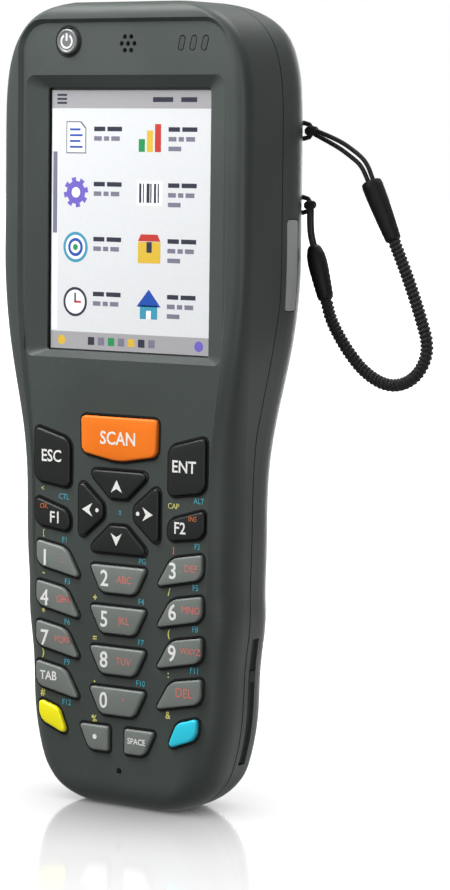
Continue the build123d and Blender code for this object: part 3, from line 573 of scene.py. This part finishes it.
KEYS = {
    "scan": ([(-8.9, 74.9), (-8.7, 67.9), (0, 66.4), (8.7, 67.9), (8.9, 74.9)],
             [1.0, 1.6, 12.0, 1.6, 1.0], "orange_key"),
    "escape": (flipped(TALL), SIDE_RADII, "black_key"),
    "enter": (TALL, SIDE_RADII, "black_key"),
    "f1": (flipped(SHORT), SIDE_RADII, "black_key"),
    "f2": (SHORT, SIDE_RADII, "black_key"),
    "up": ([(-7.5, 64.7), (-1.9, 59.5), (1.9, 59.5), (7.5, 64.7)], ARROW_RADII, "black_key"),
    "down": ([(-7.5, 49.1), (-1.9, 54.3), (1.9, 54.3), (7.5, 49.1)], ARROW_RADII, "black_key"),
    "right": ([(9.3, 50.9), (3.6, 55.7), (3.6, 58.1), (9.3, 62.9)], ARROW_RADII, "black_key"),
    "left": ([(-9.3, 50.9), (-3.6, 55.7), (-3.6, 58.1), (-9.3, 62.9)], ARROW_RADII, "black_key"),
    "yellow": (flipped(SHIFT), SHIFT_RADII, "yellow_key"),
    "blue": (SHIFT, SHIFT_RADII, "blue_key"),
    "point": (flipped(WORD), WORD_RADII, "number_key"),
    "space": (WORD, WORD_RADII, "number_key"),
}
for row, (left, centre, right_key) in enumerate(ROWS):
    KEYS[left] = (flipped(lifted(LEAF, FIRST_SIDE - ROW_PITCH * row)), LEAF_RADII, "number_key")
    KEYS[right_key] = (lifted(LEAF, FIRST_SIDE - ROW_PITCH * row), LEAF_RADII, "number_key")
    KEYS[centre] = (lifted(BOWL, FIRST_MIDDLE - ROW_PITCH * row), BOWL_RADII, "number_key")
print("keys:", len(KEYS))

# %% The heights of a cap
PANEL_Y = -12.6 * MM
KEY_TOP_Y = -13.3 * MM
KEY_BACK_Y = -10.84 * MM
KEY_EDGE = 0.4 * MM
CORNER_SEGMENTS = 6
EDGE_SEGMENTS = 4
CROWN_RISE = 0.08 * MM
CROWN_REACH = 1.6 * MM
CROWN_GRID = 1.1 * MM
print("a cap stands proud by, in mm:", round((PANEL_Y - KEY_TOP_Y) / MM, 2))


# %% A rounded outline, pulled forward
def outline_face(shape, points, radii, y):
    """A flat face with each corner rounded to its own radius."""
    corners = [shape.verts.new((x * MM, y, z * MM)) for x, z in points]
    shape.faces.new(corners)
    for i, corner in enumerate(corners):
        before, here, after = (Vector(points[j % len(points)]) for j in (i - 1, i, i + 1))
        half = (before - here).angle(after - here) / 2
        bmesh.ops.bevel(shape, geom=[corner], offset=radii[i] * MM / math.tan(half),
                        segments=CORNER_SEGMENTS, profile=0.5, affect="VERTICES", material=-1)
    return max(shape.faces, key=lambda part: part.calc_area())


def pulled(shape, face, depth):
    """Extrudes the face toward the front and returns the new front face."""
    made = bmesh.ops.extrude_face_region(shape, geom=[face])["geom"]
    front = next(part for part in made if isinstance(part, bmesh.types.BMFace))
    bmesh.ops.translate(shape, verts=front.verts, vec=(0, -depth, 0))
    return front


# %% A top that swells
def top_faces(shape):
    """The faces that look forward, at the very front."""
    return [face for face in shape.faces if face.normal.y < -0.999
            and abs(face.calc_center_median().y - KEY_TOP_Y) < 1e-6]


def edge_distance(point, edges):
    """How far a point lies from the nearest of these edges."""
    nearest = 1.0
    for start, end in edges:
        share = (point - start).dot(end - start) / (end - start).length_squared
        nearest = min(nearest, (point - start.lerp(end, min(max(share, 0), 1))).length)
    return nearest


def crown(shape):
    """Cuts the top into a grid and lets it swell away from its rim."""
    top = top_faces(shape)
    rim = [tuple(v.co.copy() for v in edge.verts) for edge in shape.edges
           if len({face in top for face in edge.link_faces}) == 2]
    corners = [vertex.co for face in top for vertex in face.verts]
    for axis in (0, 2):
        first, last = (pick(corner[axis] for corner in corners) for pick in (min, max))
        count = round((last - first) / CROWN_GRID)
        for i in range(1, count):
            at, across = Vector((0, KEY_TOP_Y, 0)), Vector((0, 0, 0))
            at[axis], across[axis] = first + (last - first) * i / count, 1
            top = top_faces(shape)
            parts = set(top) | {e for f in top for e in f.edges} | {v for f in top for v in f.verts}
            bmesh.ops.bisect_plane(shape, geom=list(parts), plane_co=at, plane_no=across)
    top = set(top_faces(shape))
    for vertex in {v for face in top for v in face.verts}:
        if all(face in top for face in vertex.link_faces):
            share = min(edge_distance(vertex.co, rim) / CROWN_REACH, 1)
            vertex.co.y -= CROWN_RISE * share * (2 - share)


# %% The caps
for name, (points, radii, finish) in KEYS.items():
    shape = bmesh.new()
    face = outline_face(shape, points, radii, KEY_BACK_Y)
    front = pulled(shape, face, KEY_BACK_Y - KEY_TOP_Y)
    bmesh.ops.recalc_face_normals(shape, faces=shape.faces)
    bmesh.ops.bevel(shape, geom=front.edges, offset=KEY_EDGE, segments=EDGE_SEGMENTS, profile=0.5,
                    affect="EDGES", clamp_overlap=True, material=-1)
    bmesh.ops.recalc_face_normals(shape, faces=shape.faces)
    shape.normal_update()
    crown(shape)
    cap = finish_piece("cap_" + name, shape, [FINISHES[finish]], f"key_{name}_body")
    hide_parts("key_" + name)
print("caps:", len(KEYS))

# %% [markdown]
# ## Painted shade round the openings
# Each key and the power button stand in an opening of the panel. A dark ring
# round each opening is painted shade that stands in for the shadowed edge of
# the hole. The key's own outline grows twice by a region inset with a negative
# thickness: once to the edge of the hole, and once more to the outside of the ring. The band between the
# two is pulled into a solid ring.

# %% Dark rings of painted shade round the openings
KEY_HOLE_GAP = 0.16 * MM
SHADE_RING_BACK_Y = PANEL_Y + 0.3 * MM
SHADE_RING_DEPTH = 0.33 * MM
SHADE_RING_REACH = 0.56 * MM
POWER_X, POWER_Z, POWER_RADIUS = -12.8, 145.4, 2.5
POWER_SIDES = 48
shade_rings = bmesh.new()


def add_shade_ring(shape, face):
    """Adds a solid band of painted shade round this outline, from the edge of its hole out to the ring's
    reach.
    """
    inner, band = (bmesh.ops.inset_region(shape, faces=[face], thickness=-reach, use_boundary=True,
                                          use_even_offset=True)["faces"]
                   for reach in (KEY_HOLE_GAP, SHADE_RING_REACH - KEY_HOLE_GAP))
    bmesh.ops.delete(shape, geom=[face] + inner, context="FACES")
    made = bmesh.ops.extrude_face_region(shape, geom=band)["geom"]
    front = [part for part in made if isinstance(part, bmesh.types.BMVert)]
    bmesh.ops.translate(shape, verts=front, vec=(0, -SHADE_RING_DEPTH, 0))
    mesh = bpy.data.meshes.new("lip")
    shape.to_mesh(mesh)
    shape.free()
    shade_rings.from_mesh(mesh)
    bpy.data.meshes.remove(mesh)


def power_place(y):
    """The middle of the power button at this depth, turned to face the front."""
    turned = Matrix.Rotation(math.pi / 2, 4, "X")
    return Matrix.Translation((POWER_X * MM, y, POWER_Z * MM)) @ turned


for points, radii, _ in KEYS.values():
    shape = bmesh.new()
    add_shade_ring(shape, outline_face(shape, points, radii, SHADE_RING_BACK_Y))
shape = bmesh.new()
bmesh.ops.create_circle(shape, cap_ends=True, segments=POWER_SIDES, radius=POWER_RADIUS * MM,
                        matrix=power_place(SHADE_RING_BACK_Y))
add_shade_ring(shape, next(iter(shape.faces)))
print("lips:", len(KEYS) + 1, "faces:", len(shade_rings.faces))
# These rings are painted shade: their near-black finish stands in for the shadowed edges of the
# openings, not for a rubber part.
finish_piece("keypad_lips", shade_rings, [FINISHES["module_black"]], "terminal", smooth=False)

# %% [markdown]
# ## Printed legends
# The digits and words are printed on the caps and on the panel. Text starts
# as a font curve, becomes a thin solid whose seams are merged, and rides on
# the body of its key, so it moves with that key when it is pressed.

# %% Inks
CHIPS_PER_METRE = 900


def printed(name, colour, worn=0.25):
    paint = Paint(name)
    chips = paint.ramp(paint.noise(CHIPS_PER_METRE, 4), 0.6, 0.75)
    paint.set(base_color=paint.blend(chips * worn, colour, shade(colour, 0.6)),
              roughness=0.5 + chips * 0.2)
    return paint.material


INKS = {
    "white": printed("ink_white", tone(228, 228, 224)),
    "red": printed("ink_red", tone(206, 112, 102)),
    "orange": printed("ink_orange", tone(190, 104, 54)),
    "yellow": printed("ink_yellow", tone(208, 204, 110)),
    "teal": printed("ink_teal", tone(66, 160, 178)),
}
INK_ORDER = list(INKS)
print("inks:", INK_ORDER)

# %% Words and stamps
UPRIGHT = Matrix(((1, 0, 0), (0, 0, -1), (0, 1, 0))).to_4x4()
INK_DEPTH = 0.05 * MM
SEAM = 0.001 * MM


def write(shape, words, x, z, size, ink, y, bold=0.0, stretch=0.92):
    """Adds words to the mesh, centred on (x, z), with their front at y."""
    text = bpy.data.curves.new("words", "FONT")
    text.body = words
    text.align_x, text.align_y = "CENTER", "CENTER"
    text.size = size * MM
    text.offset = bold * size * MM
    text.extrude = INK_DEPTH
    text.resolution_u = 3
    holder = bpy.data.objects.new("words", text)
    bpy.context.scene.collection.objects.link(holder)
    flat = bpy.data.meshes.new_from_object(holder)
    bpy.data.objects.remove(holder)
    flat.transform(Matrix.Translation((x * MM, y + INK_DEPTH, z * MM)) @ UPRIGHT
                   @ Matrix.Diagonal((stretch, 1, 1, 1)))
    letters = bmesh.new()
    letters.from_mesh(flat)
    bmesh.ops.remove_doubles(letters, verts=letters.verts, dist=SEAM)
    bmesh.ops.dissolve_degenerate(letters, edges=letters.edges, dist=SEAM)
    letters.to_mesh(flat)
    letters.free()
    first = len(shape.faces)
    shape.from_mesh(flat)
    bpy.data.meshes.remove(flat)
    shape.faces.ensure_lookup_table()
    for face in shape.faces[first:]:
        face.material_index = INK_ORDER.index(ink)


def stamp(shape, points, ink, y, depth=2 * INK_DEPTH):
    """Adds a flat printed polygon with its front at y, its corners in millimetres."""
    face = shape.faces.new([shape.verts.new((x * MM, y + depth, z * MM)) for x, z in points])
    before = set(shape.faces)
    front = pulled(shape, face, depth)
    for part in [face, front] + [f for f in shape.faces if f not in before]:
        part.material_index = INK_ORDER.index(ink)


def round_points(x, z, radius, count=20):
    """Points round a circle, for stamps and icons."""
    return [(x + radius * math.cos(math.tau * i / count),
             z + radius * math.sin(math.tau * i / count)) for i in range(count)]


# %% What each key says
PRINT_PROUD = 0.015 * MM
PRINT_Y = KEY_TOP_Y - CROWN_RISE - PRINT_PROUD
WHITE_WEIGHT = 0.014
LETTERS = {"2": "ABC", "3": "DEF", "4": "GHI", "5": "JKL", "6": "MNO",
           "7": "PQRS", "8": "TUV", "9": "WXYZ", "1": ":;", "0": "°"}
ARROWS = {"up": (-0.2, 61.7, 0.0), "down": (-0.2, 51.9, 180.0),
          "left": (-6.9, 57.0, 90.0), "right": (6.9, 57.0, -90.0)}
WORDS = {"scan": [("SCAN", 0.0, 70.8, 3.5, "white")],
         "escape": [("ESC", -15.7, 66.6, 3.2, "white")],
         "enter": [("ENT", 15.2, 66.4, 3.2, "white")],
         "f1": [("F1", -14.7, 54.8, 3.1, "white"), ("OK", -17.4, 56.9, 1.4, "orange")],
         "f2": [("F2", 14.4, 54.9, 3.1, "white"), ("INS", 17.3, 56.9, 1.4, "orange")],
         "space": [("SPACE", 4.9, 13.5, 1.6, "white")],
         "tab": [("TAB", -16.1, 24.1, 2.4, "white")],
         "delete": [("DEL", 15.7, 23.9, 2.5, "red")]}
# Each column of digits: the digit's x and z in the first row, and from it to the letters.
DIGIT_COLUMNS = [(-17.1, FIRST_SIDE + 3.3, 4.3, 0.1), (-2.9, FIRST_MIDDLE + 2.6, 4.6, 0.1),
                 (12.9, FIRST_SIDE + 3.1, 4.2, 0.8)]
DIGIT_SIZE, LETTER_SIZE, LONG_LETTER_SIZE = 4.3, 2.0, 1.7
for row, keys in enumerate(ROWS):
    for key, (x, z, aside, above) in zip(keys, DIGIT_COLUMNS):
        if key.isdigit():
            z -= ROW_PITCH * row
            size = LETTER_SIZE if len(LETTERS[key]) < 4 else LONG_LETTER_SIZE
            WORDS[key] = [(key, x, z, DIGIT_SIZE, "white"),
                          (LETTERS[key], x + aside, z + above, size, "red")]
print("keys with words:", len(WORDS))

# %% Printing the keys
ARROW_HEAD = [(-1.3, -1.05), (0.0, -0.3), (1.3, -1.05), (0.0, 1.35)]
for key in KEYS:
    shape = bmesh.new()
    for words, x, z, size, ink in WORDS.get(key, []):
        write(shape, words, x, z, size, ink, PRINT_Y, bold=WHITE_WEIGHT if ink == "white" else 0.0)
    if key in ARROWS:
        x, z, turn = ARROWS[key]
        cos, sin = math.cos(math.radians(turn)), math.sin(math.radians(turn))
        head = [(x + a * cos - b * sin, z + a * sin + b * cos) for a, b in ARROW_HEAD]
        stamp(shape, head, "white", PRINT_Y)
        if key in ("left", "right"):
            stamp(shape, round_points(x * 0.69, z, 0.4, 10), "white", PRINT_Y)
    if key == "point":
        stamp(shape, round_points(-4.9, 13.5, 0.5, 14), "white", PRINT_Y)
    if shape.faces:
        finish_piece("legend_" + key, shape, INKS.values(), f"key_{key}_body", smooth=False)
    else:
        shape.free()

# %% The small marks on the panel
MARK_Y = PANEL_Y - 0.02 * MM
SIGNS = ["-", "+", "/", "*", "=", "(", ")", ",", ":", "#", "%", "&"]
SIGN_SIZE, SIGN_WEIGHT = 2.0, 0.015
NUMBER_SIZE, WORD_SIZE = 1.6, 1.5
FIRST_NUMBER, LAST_NUMBER = 3, 12
# For each column: the sign's x and z and the number's x and z, in the first row.
MARK_COLUMNS = [(-17.9, FIRST_SIDE + 0.45, -12.2, FIRST_SIDE - 1.0),
                (-5.6, FIRST_MIDDLE - 1.3, 5.2, FIRST_MIDDLE - 1.2),
                (11.6, FIRST_SIDE - 0.95, 17.6, FIRST_SIDE + 0.3)]
MARK_WORDS = [(-18.3, 60.2, "<", "yellow"), (-13.2, 58.9, "CTL", "teal"),
              (12.4, 58.9, "CAP", "yellow"), (18.2, 60.2, "ALT", "teal"),
              (-18.0, 51.7, "[", "yellow"), (-12.9, 50.6, "F1", "teal"),
              (12.5, 50.7, "]", "red"), (17.9, 51.7, "F2", "teal"),
              (0.1, 56.9, "±", "teal"), (5.4, 47.9, "PG", "teal")]
marks = bmesh.new()
for i, sign in enumerate(SIGNS):
    x, z, far_x, far_z = MARK_COLUMNS[i % 3]
    down = ROW_PITCH * (i // 3)
    write(marks, sign, x, z - down, SIGN_SIZE, "yellow", MARK_Y, SIGN_WEIGHT)
    if FIRST_NUMBER + i <= LAST_NUMBER:
        write(marks, f"F{FIRST_NUMBER + i}", far_x, far_z - down, NUMBER_SIZE, "teal", MARK_Y)
for x, z, words, ink in MARK_WORDS:
    write(marks, words, x, z, WORD_SIZE, ink, MARK_Y)
print("faces of the marks:", len(marks.faces))
finish_piece("panel_marks", marks, INKS.values(), "terminal", smooth=False)

# %% [markdown]
# ## The power button
# The button is a turned form: a short skirt, a rolled edge and a shallow dish.
# A few circles of different sizes at different depths give that profile, and
# bridging one to the next closes it. Its sign is an open ring with a bar.

# %% The cap of the power button
POWER_PROFILE = [(2.36, KEY_BACK_Y), (2.36, -13.1 * MM), (2.2, -13.3 * MM), (1.95, -13.32 * MM),
                 (1.8, -13.22 * MM), (1.72, -13.2 * MM), (1.2, -13.27 * MM)]
shape = bmesh.new()
sweep(shape, [power_place(y) for _, y in POWER_PROFILE],
      [radius * MM for radius, _ in POWER_PROFILE], POWER_SIDES)
button = finish_piece("power_cap", shape, [FINISHES["silver"]], "power_button_body")
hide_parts("power_button")
print("faces of the button:", len(button.data.polygons))

# %% Its sign, an open ring and a bar
RING_OUTER, RING_INNER = 1.4, 1.08
RING_START, RING_SWEEP, RING_STEPS = 125, 290, 14
BAR_HALF, BAR_FOOT, BAR_TOP = 0.17, 0.1, 1.5
POWER_SIGN_Y = -13.3 * MM
shape = bmesh.new()
for i in range(RING_STEPS):
    first, second = (math.radians(RING_START + RING_SWEEP * j / RING_STEPS) for j in (i, i + 1))
    corners = ((RING_OUTER, first), (RING_OUTER, second), (RING_INNER, second), (RING_INNER, first))
    stamp(shape, [(POWER_X + r * math.cos(a), POWER_Z + r * math.sin(a)) for r, a in corners],
          "white", POWER_SIGN_Y)
stamp(shape, [(POWER_X + side * BAR_HALF, POWER_Z + rise)
              for side, rise in ((-1, BAR_FOOT), (1, BAR_FOOT), (1, BAR_TOP), (-1, BAR_TOP))],
      "white", POWER_SIGN_Y)
print("faces of the sign:", len(shape.faces))
finish_piece("power_sign", shape, INKS.values(), "power_button_body", smooth=False)

# %% [markdown]
# ## The picture on the display
# The lit picture is a thin stack of flat pieces on the glass: a pale ground,
# two bars, eight plain icons in two columns with a few dashes for each name,
# and a scroll bar. A little emission gives it the glow of a display without
# lighting the room.

# %% Lit colours
CELLS_PER_METRE = 2600
DISPLAY_GLOW = 0.2


def lit(name, colour):
    paint = Paint(name)
    cells = paint.noise(CELLS_PER_METRE, 1)
    paint.set(base_color=paint.blend(cells, shade(colour, 0.9), colour), roughness=0.3,
              emission_color=colour, emission_strength=DISPLAY_GLOW, specular_ior_level=0.3)
    return paint.material


LIGHTS = {name: lit("lit_" + name, tone(*colour)) for name, colour in {
    "ground": (202, 204, 206), "bar": (152, 151, 154), "dark": (48, 50, 62),
    "label": (112, 112, 128), "paper": (228, 229, 234), "blue": (36, 74, 158),
    "green": (40, 132, 78), "gold": (202, 168, 60), "red": (178, 58, 52),
    "teal": (60, 138, 164), "violet": (104, 92, 176)}.items()}
LIT_ORDER = list(LIGHTS)
print("lit colours:", len(LIT_ORDER))

# %% Flat pieces, level above level
LAYER = 0.012 * MM
GLASS_Y = -10.25 * MM
picture = bmesh.new()


def patch(points, colour, level):
    """One flat piece of the picture, on its own level above the glass."""
    y = GLASS_Y - LAYER * level
    face = picture.faces.new([picture.verts.new((x * MM, y, z * MM)) for x, z in points])
    before = set(picture.faces)
    front = pulled(picture, face, LAYER * 0.8)
    for part in [face, front] + [f for f in picture.faces if f not in before]:
        part.material_index = LIT_ORDER.index(colour)


def bar(x, z, wide, high, colour, level):
    """A patch with its lower left corner at (x, z)."""
    patch([(x, z), (x + wide, z), (x + wide, z + high), (x, z + high)], colour, level)


# %% The bars with their small marks, and the scroll bar
LEFT, RIGHT, BOTTOM, TOP = -18.36, 18.36, 87.2, 136.3
bar(LEFT, BOTTOM, RIGHT - LEFT, TOP - BOTTOM, "ground", 0)
bar(LEFT, TOP - 3.4, RIGHT - LEFT, 3.4, "bar", 1)
bar(LEFT, BOTTOM, RIGHT - LEFT, 3.3, "bar", 1)
for i, wide in enumerate((3.6, 4.6)):
    bar(11.6 - 6.4 * i, TOP - 2.2, wide, 0.9, "dark", 2)
for i in range(3):
    bar(LEFT + 1.2, TOP - 1.1 - 0.75 * i, 2.3, 0.4, "dark", 2)
bar(LEFT + 0.2, BOTTOM + 3.6, 1.3, TOP - BOTTOM - 7.3, "paper", 1)
bar(LEFT + 0.35, BOTTOM + 22, 1.0, 15.5, "label", 2)
for i, colour in enumerate(("dark", "label", "green", "label", "gold", "dark", "label")):
    bar(-9.5 + 2.35 * i, BOTTOM + 0.9, 1.5, 1.5, colour, 2)
patch(round_points(RIGHT - 2.2, BOTTOM + 1.65, 1.0), "violet", 2)
patch(round_points(LEFT + 2.6, BOTTOM + 1.65, 1.0, 6), "gold", 2)


# %% Eight plain icons
def teeth(x, z, outer, inner, count):
    """Corners of a toothed wheel."""
    points = []
    for i in range(count):
        for share, radius in ((0, outer), (0.5, outer), (0.5, inner), (1, inner)):
            angle = math.tau * (i + share) / count
            points.append((x + radius * math.cos(angle), z + radius * math.sin(angle)))
    return points


def icon(kind, x, z):
    """One plain icon, centred on (x, z)."""
    if kind == "bars":
        bar(x - 2.9, z - 2.2, 5.8, 4.6, "paper", 1)
        for i, wide in enumerate((0.5, 0.25, 0.7, 0.3, 0.5, 0.3)):
            bar(x - 2.4 + 0.85 * i, z - 1.7, wide, 3.6, "dark", 2)
    elif kind == "wheel":
        patch(teeth(x, z, 2.9, 2.2, 8), "violet", 1)
        patch(round_points(x, z, 1.0), "paper", 2)
    elif kind == "chart":
        for i, (high, colour) in enumerate(((2.4, "green"), (4.0, "gold"), (5.2, "red"))):
            bar(x - 2.6 + 1.85 * i, z - 2.6, 1.4, high, colour, 1)
    elif kind == "dial":
        patch(round_points(x, z, 2.8, 28), "dark", 1)
        patch(round_points(x, z, 2.3, 28), "paper", 2)
        bar(x - 0.2, z - 0.2, 0.4, 1.9, "dark", 3)
        bar(x - 0.2, z - 0.2, 1.6, 0.4, "red", 3)
    elif kind == "page":
        for edge, colour, level in ((0.25, "label", 1), (0.0, "paper", 2)):
            wide, high = 2.1 + edge, 2.8 + edge
            patch([(x - wide, z - high), (x + wide, z - high), (x + wide, z + high - 1.2),
                   (x + wide - 1.2, z + high), (x - wide, z + high)], colour, level)
        for i in range(4):
            bar(x - 1.5, z - 2.0 + 1.1 * i, 3.0 - 0.5 * (i % 2), 0.4, "blue", 3)
    elif kind == "crate":
        bar(x - 2.6, z - 2.6, 5.2, 4.0, "gold", 1)
        patch([(x - 2.6, z + 1.5), (x + 2.6, z + 1.5), (x + 1.9, z + 2.8), (x - 1.9, z + 2.8)], "red", 1)
        bar(x - 0.6, z - 0.6, 1.2, 2.0, "dark", 2)
    elif kind == "rings":
        for i, colour in enumerate(("teal", "paper", "blue", "paper", "green")):
            patch(round_points(x, z, 2.9 - 0.58 * i, 28), colour, i + 1)
    else:
        patch([(x - 2.8, z - 0.4), (x, z + 2.9), (x + 2.8, z - 0.4)], "blue", 1)
        bar(x - 2.0, z - 2.7, 4.0, 2.6, "teal", 1)
        bar(x - 0.55, z - 2.7, 1.1, 1.6, "paper", 2)


# %% The icons in two columns, each with a few dashes for its name
ICONS = ["page", "chart", "wheel", "bars", "rings", "crate", "dial", "house"]
ICON_COLUMNS = (-12.6, 4.6)
ICON_TOP, ICON_PITCH = 127.4, 10.4
NAME_LINES = [(2.6, 3.4), (1.8, 1.2, 2.0), (2.9,)]
NAME_START, LINE_PITCH, LINE_HIGH, WORD_GAP = 4.2, 1.8, 0.85, 0.5
for i, kind in enumerate(ICONS):
    x, z = ICON_COLUMNS[i % 2], ICON_TOP - ICON_PITCH * (i // 2)
    icon(kind, x, z)
    for j, words in enumerate(NAME_LINES[:2 + i % 2]):
        start = x + NAME_START
        for wide in words:
            bar(start, z + 1.2 - LINE_PITCH * j, wide, LINE_HIGH, "dark" if j == 0 else "label", 1)
            start += wide + WORD_GAP
finish_piece("screen_picture", picture, LIGHTS.values(), "terminal", smooth=False)
print("icons on the display:", len(ICONS))

# %% [markdown]
# ## Camera and light
# The camera stands in front and to the right, a little above the object's
# middle, with a long lens, so the upright edges stay almost parallel. The
# studio is plain: a white room, a broad lamp from the upper left, a tall
# narrow one behind the camera that draws the bright line along the rounded
# edge, and two from behind. A dark plastic shows its form by what it mirrors,
# so a white card stands low behind the right side, where only reflections
# see it.

# %% The camera
CAMERA_PLACE = Vector((353.3, -499.3, 125.87)) * MM
AIM = Vector((23.88, -12.6, 71.15)) * MM
ROLL = math.radians(0.67)
LENS, SENSOR = 129.4, 36.0
camera = bpy.data.objects.new("camera", bpy.data.cameras.new("camera"))
camera.data.lens = LENS
camera.data.sensor_width = SENSOR
camera.data.clip_start, camera.data.clip_end = 0.01, 50
back = (CAMERA_PLACE - AIM).normalized()
right = Vector((0, 0, 1)).cross(back).normalized()
up = back.cross(right)
rolled_right = math.cos(ROLL) * right + math.sin(ROLL) * up
rolled_up = math.cos(ROLL) * up - math.sin(ROLL) * right
camera.matrix_world = (Matrix.Translation(CAMERA_PLACE)
                       @ Matrix((rolled_right, rolled_up, back)).transposed().to_4x4())
bpy.context.scene.collection.objects.link(camera)
bpy.context.scene.camera = camera
bpy.context.scene.view_settings.view_transform = "Standard"
print("from the camera to its aim, in mm:", round((CAMERA_PLACE - AIM).length / MM))

# %% The lamps: place, aim, size and power
MIDDLE = (0.0, 0.0, 0.08)
LAMPS = {
    "broad_lamp": ((-0.13, -0.17, 0.34), (0.0, 0.0, 0.14), (0.2, 0.2), 2.1),
    "edge_lamp": ((0.78, -0.92, 0.14), MIDDLE, (0.1, 0.9), 4.9),
    "rim_lamp": ((-0.3, 1.1, 0.12), (0.0, 0.0, 0.05), (0.5, 0.6), 5.0),
    "top_lamp": ((0.1, 0.45, 0.9), (0.0, 0.0, 0.15), (0.5, 0.4), 6.0),
}
for name, (place, aim, size, watts) in LAMPS.items():
    light = bpy.data.lights.new(name, "AREA")
    light.shape = "RECTANGLE"
    light.size, light.size_y = size
    light.energy = watts
    lamp = bpy.data.objects.new(name, light)
    lamp.matrix_world = facing(Vector(place), Vector(place) - Vector(aim))
    bpy.context.scene.collection.objects.link(lamp)
print("lamps:", len(LAMPS))

# %% The white card that only reflections see
CARD_MIDDLE = (0.56, 0.5, -0.36)
CARD_SIZE = (1.24, 0.6, 1.0)
CARD_TURN = math.radians(-52)
CARD_GLOW = 1.7
shape = bmesh.new()
bmesh.ops.create_grid(shape, x_segments=2, y_segments=2, size=0.5)
stood = Matrix.Rotation(CARD_TURN, 4, "Z") @ Matrix.Rotation(math.pi / 2, 4, "X")
bmesh.ops.transform(shape, verts=shape.verts,
                    matrix=Matrix.Translation(CARD_MIDDLE) @ stood @ Matrix.Diagonal((*CARD_SIZE, 1.0)))
mesh = bpy.data.meshes.new("white_card")
shape.to_mesh(mesh)
shape.free()
card = bpy.data.objects.new("white_card", mesh)
bpy.context.scene.collection.objects.link(card)
card.visible_camera = card.visible_shadow = card.visible_diffuse = False
paint = Paint("white_card")
paint.set(base_color=(0.004, 0.004, 0.004, 1), roughness=1.0, specular_ior_level=0.0,
          emission_color=(1, 1, 1, 1), emission_strength=CARD_GLOW)
mesh.materials.append(paint.material)
print("the card in metres:", CARD_SIZE[:2])

# %% The white room: full white to the camera, dimmer to reflections, dim to the object
ROOM_LIGHT = 0.09
GLOSS_SHARE = 0.45
world = bpy.data.worlds.new("studio")
world.use_nodes = True
bpy.context.scene.world = world
sky = world.node_tree.nodes["Background"]
sky.inputs["Color"].default_value = (1, 1, 1, 1)
links, room = world.node_tree.links, world.node_tree.nodes
rays = room.new("ShaderNodeLightPath")
total = rays.outputs["Is Camera Ray"]
for ray, share in (("Is Glossy Ray", GLOSS_SHARE), ("Is Transmission Ray", 1.0)):
    adding = room.new("ShaderNodeMath")
    adding.operation = "MULTIPLY_ADD"
    links.new(rays.outputs[ray], adding.inputs[0])
    adding.inputs[1].default_value = share
    links.new(total, adding.inputs[2])
    total = adding.outputs[0]
seen = room.new("ShaderNodeMapRange")
links.new(total, seen.inputs["Value"])
seen.inputs["To Min"].default_value = ROOM_LIGHT
links.new(seen.outputs["Result"], sky.inputs["Strength"])
print("nodes of the room:", len(room))

# %% [markdown]
# ## The floor
# The floor glows white and throws no light back on the object. It darkens
# only close under the object, which an Ambient Occlusion node measures, and
# it mirrors the toe like a polished table. A round gradient gives the mirror
# a slightly larger share near the object, so the reflection fades outwards.

# %% The floor
FLOOR_REACH = 6.0
FLOOR_GLOW = 8.0
SHADE_DISTANCE = 0.035
MIRROR_ROUGHNESS = 0.09
FADE_REACH = 0.13
MIRROR_FAR, MIRROR_NEAR = 0.86, 0.925
shape = bmesh.new()
bmesh.ops.create_grid(shape, x_segments=2, y_segments=2, size=FLOOR_REACH)
mesh = bpy.data.meshes.new("floor")
shape.to_mesh(mesh)
shape.free()
floor = bpy.data.objects.new("floor", mesh)
floor.location.z = cad_box[0].z
bpy.context.scene.collection.objects.link(floor)
floor.visible_diffuse = floor.visible_glossy = floor.visible_shadow = False
print("height of the floor in mm:", round(floor.location.z / MM, 2))

# %% Its finish
white = (1, 1, 1, 1)
paint = Paint("floor_white")
paint.set(base_color=(0.05, 0.05, 0.05, 1), roughness=0.6, specular_ior_level=0.0)
matt = Signal(paint, paint.shader.outputs[0])
glow = paint.node("ShaderNodeEmission", None, {"Color": white, "Strength": FLOOR_GLOW})
open_share = paint.node("ShaderNodeAmbientOcclusion", {"samples": 16}, {"Distance": SHADE_DISTANCE},
                        output=1)
lit_floor = paint.node("ShaderNodeMixShader", None, {0: open_share, 1: matt, 2: glow})
mirror = paint.node("ShaderNodeBsdfGlossy", None, {"Color": white, "Roughness": MIRROR_ROUGHNESS})
spread = paint.node("ShaderNodeMapping", None,
                    {"Vector": paint.place(), "Scale": (1 / FADE_REACH, 1 / FADE_REACH, 0.0)})
near = paint.node("ShaderNodeTexGradient", {"gradient_type": "SPHERICAL"}, {0: spread}, output=1)
mirror_share = paint.ramp(near, 0.0, 1.0, MIRROR_FAR, MIRROR_NEAR)
joined = paint.node("ShaderNodeMixShader", None, {0: mirror_share, 1: lit_floor, 2: mirror})
paint.feed(paint.nodes["Material Output"].inputs["Surface"], joined)
mesh.materials.append(paint.material)
print("nodes of the floor's finish:", len(paint.nodes))
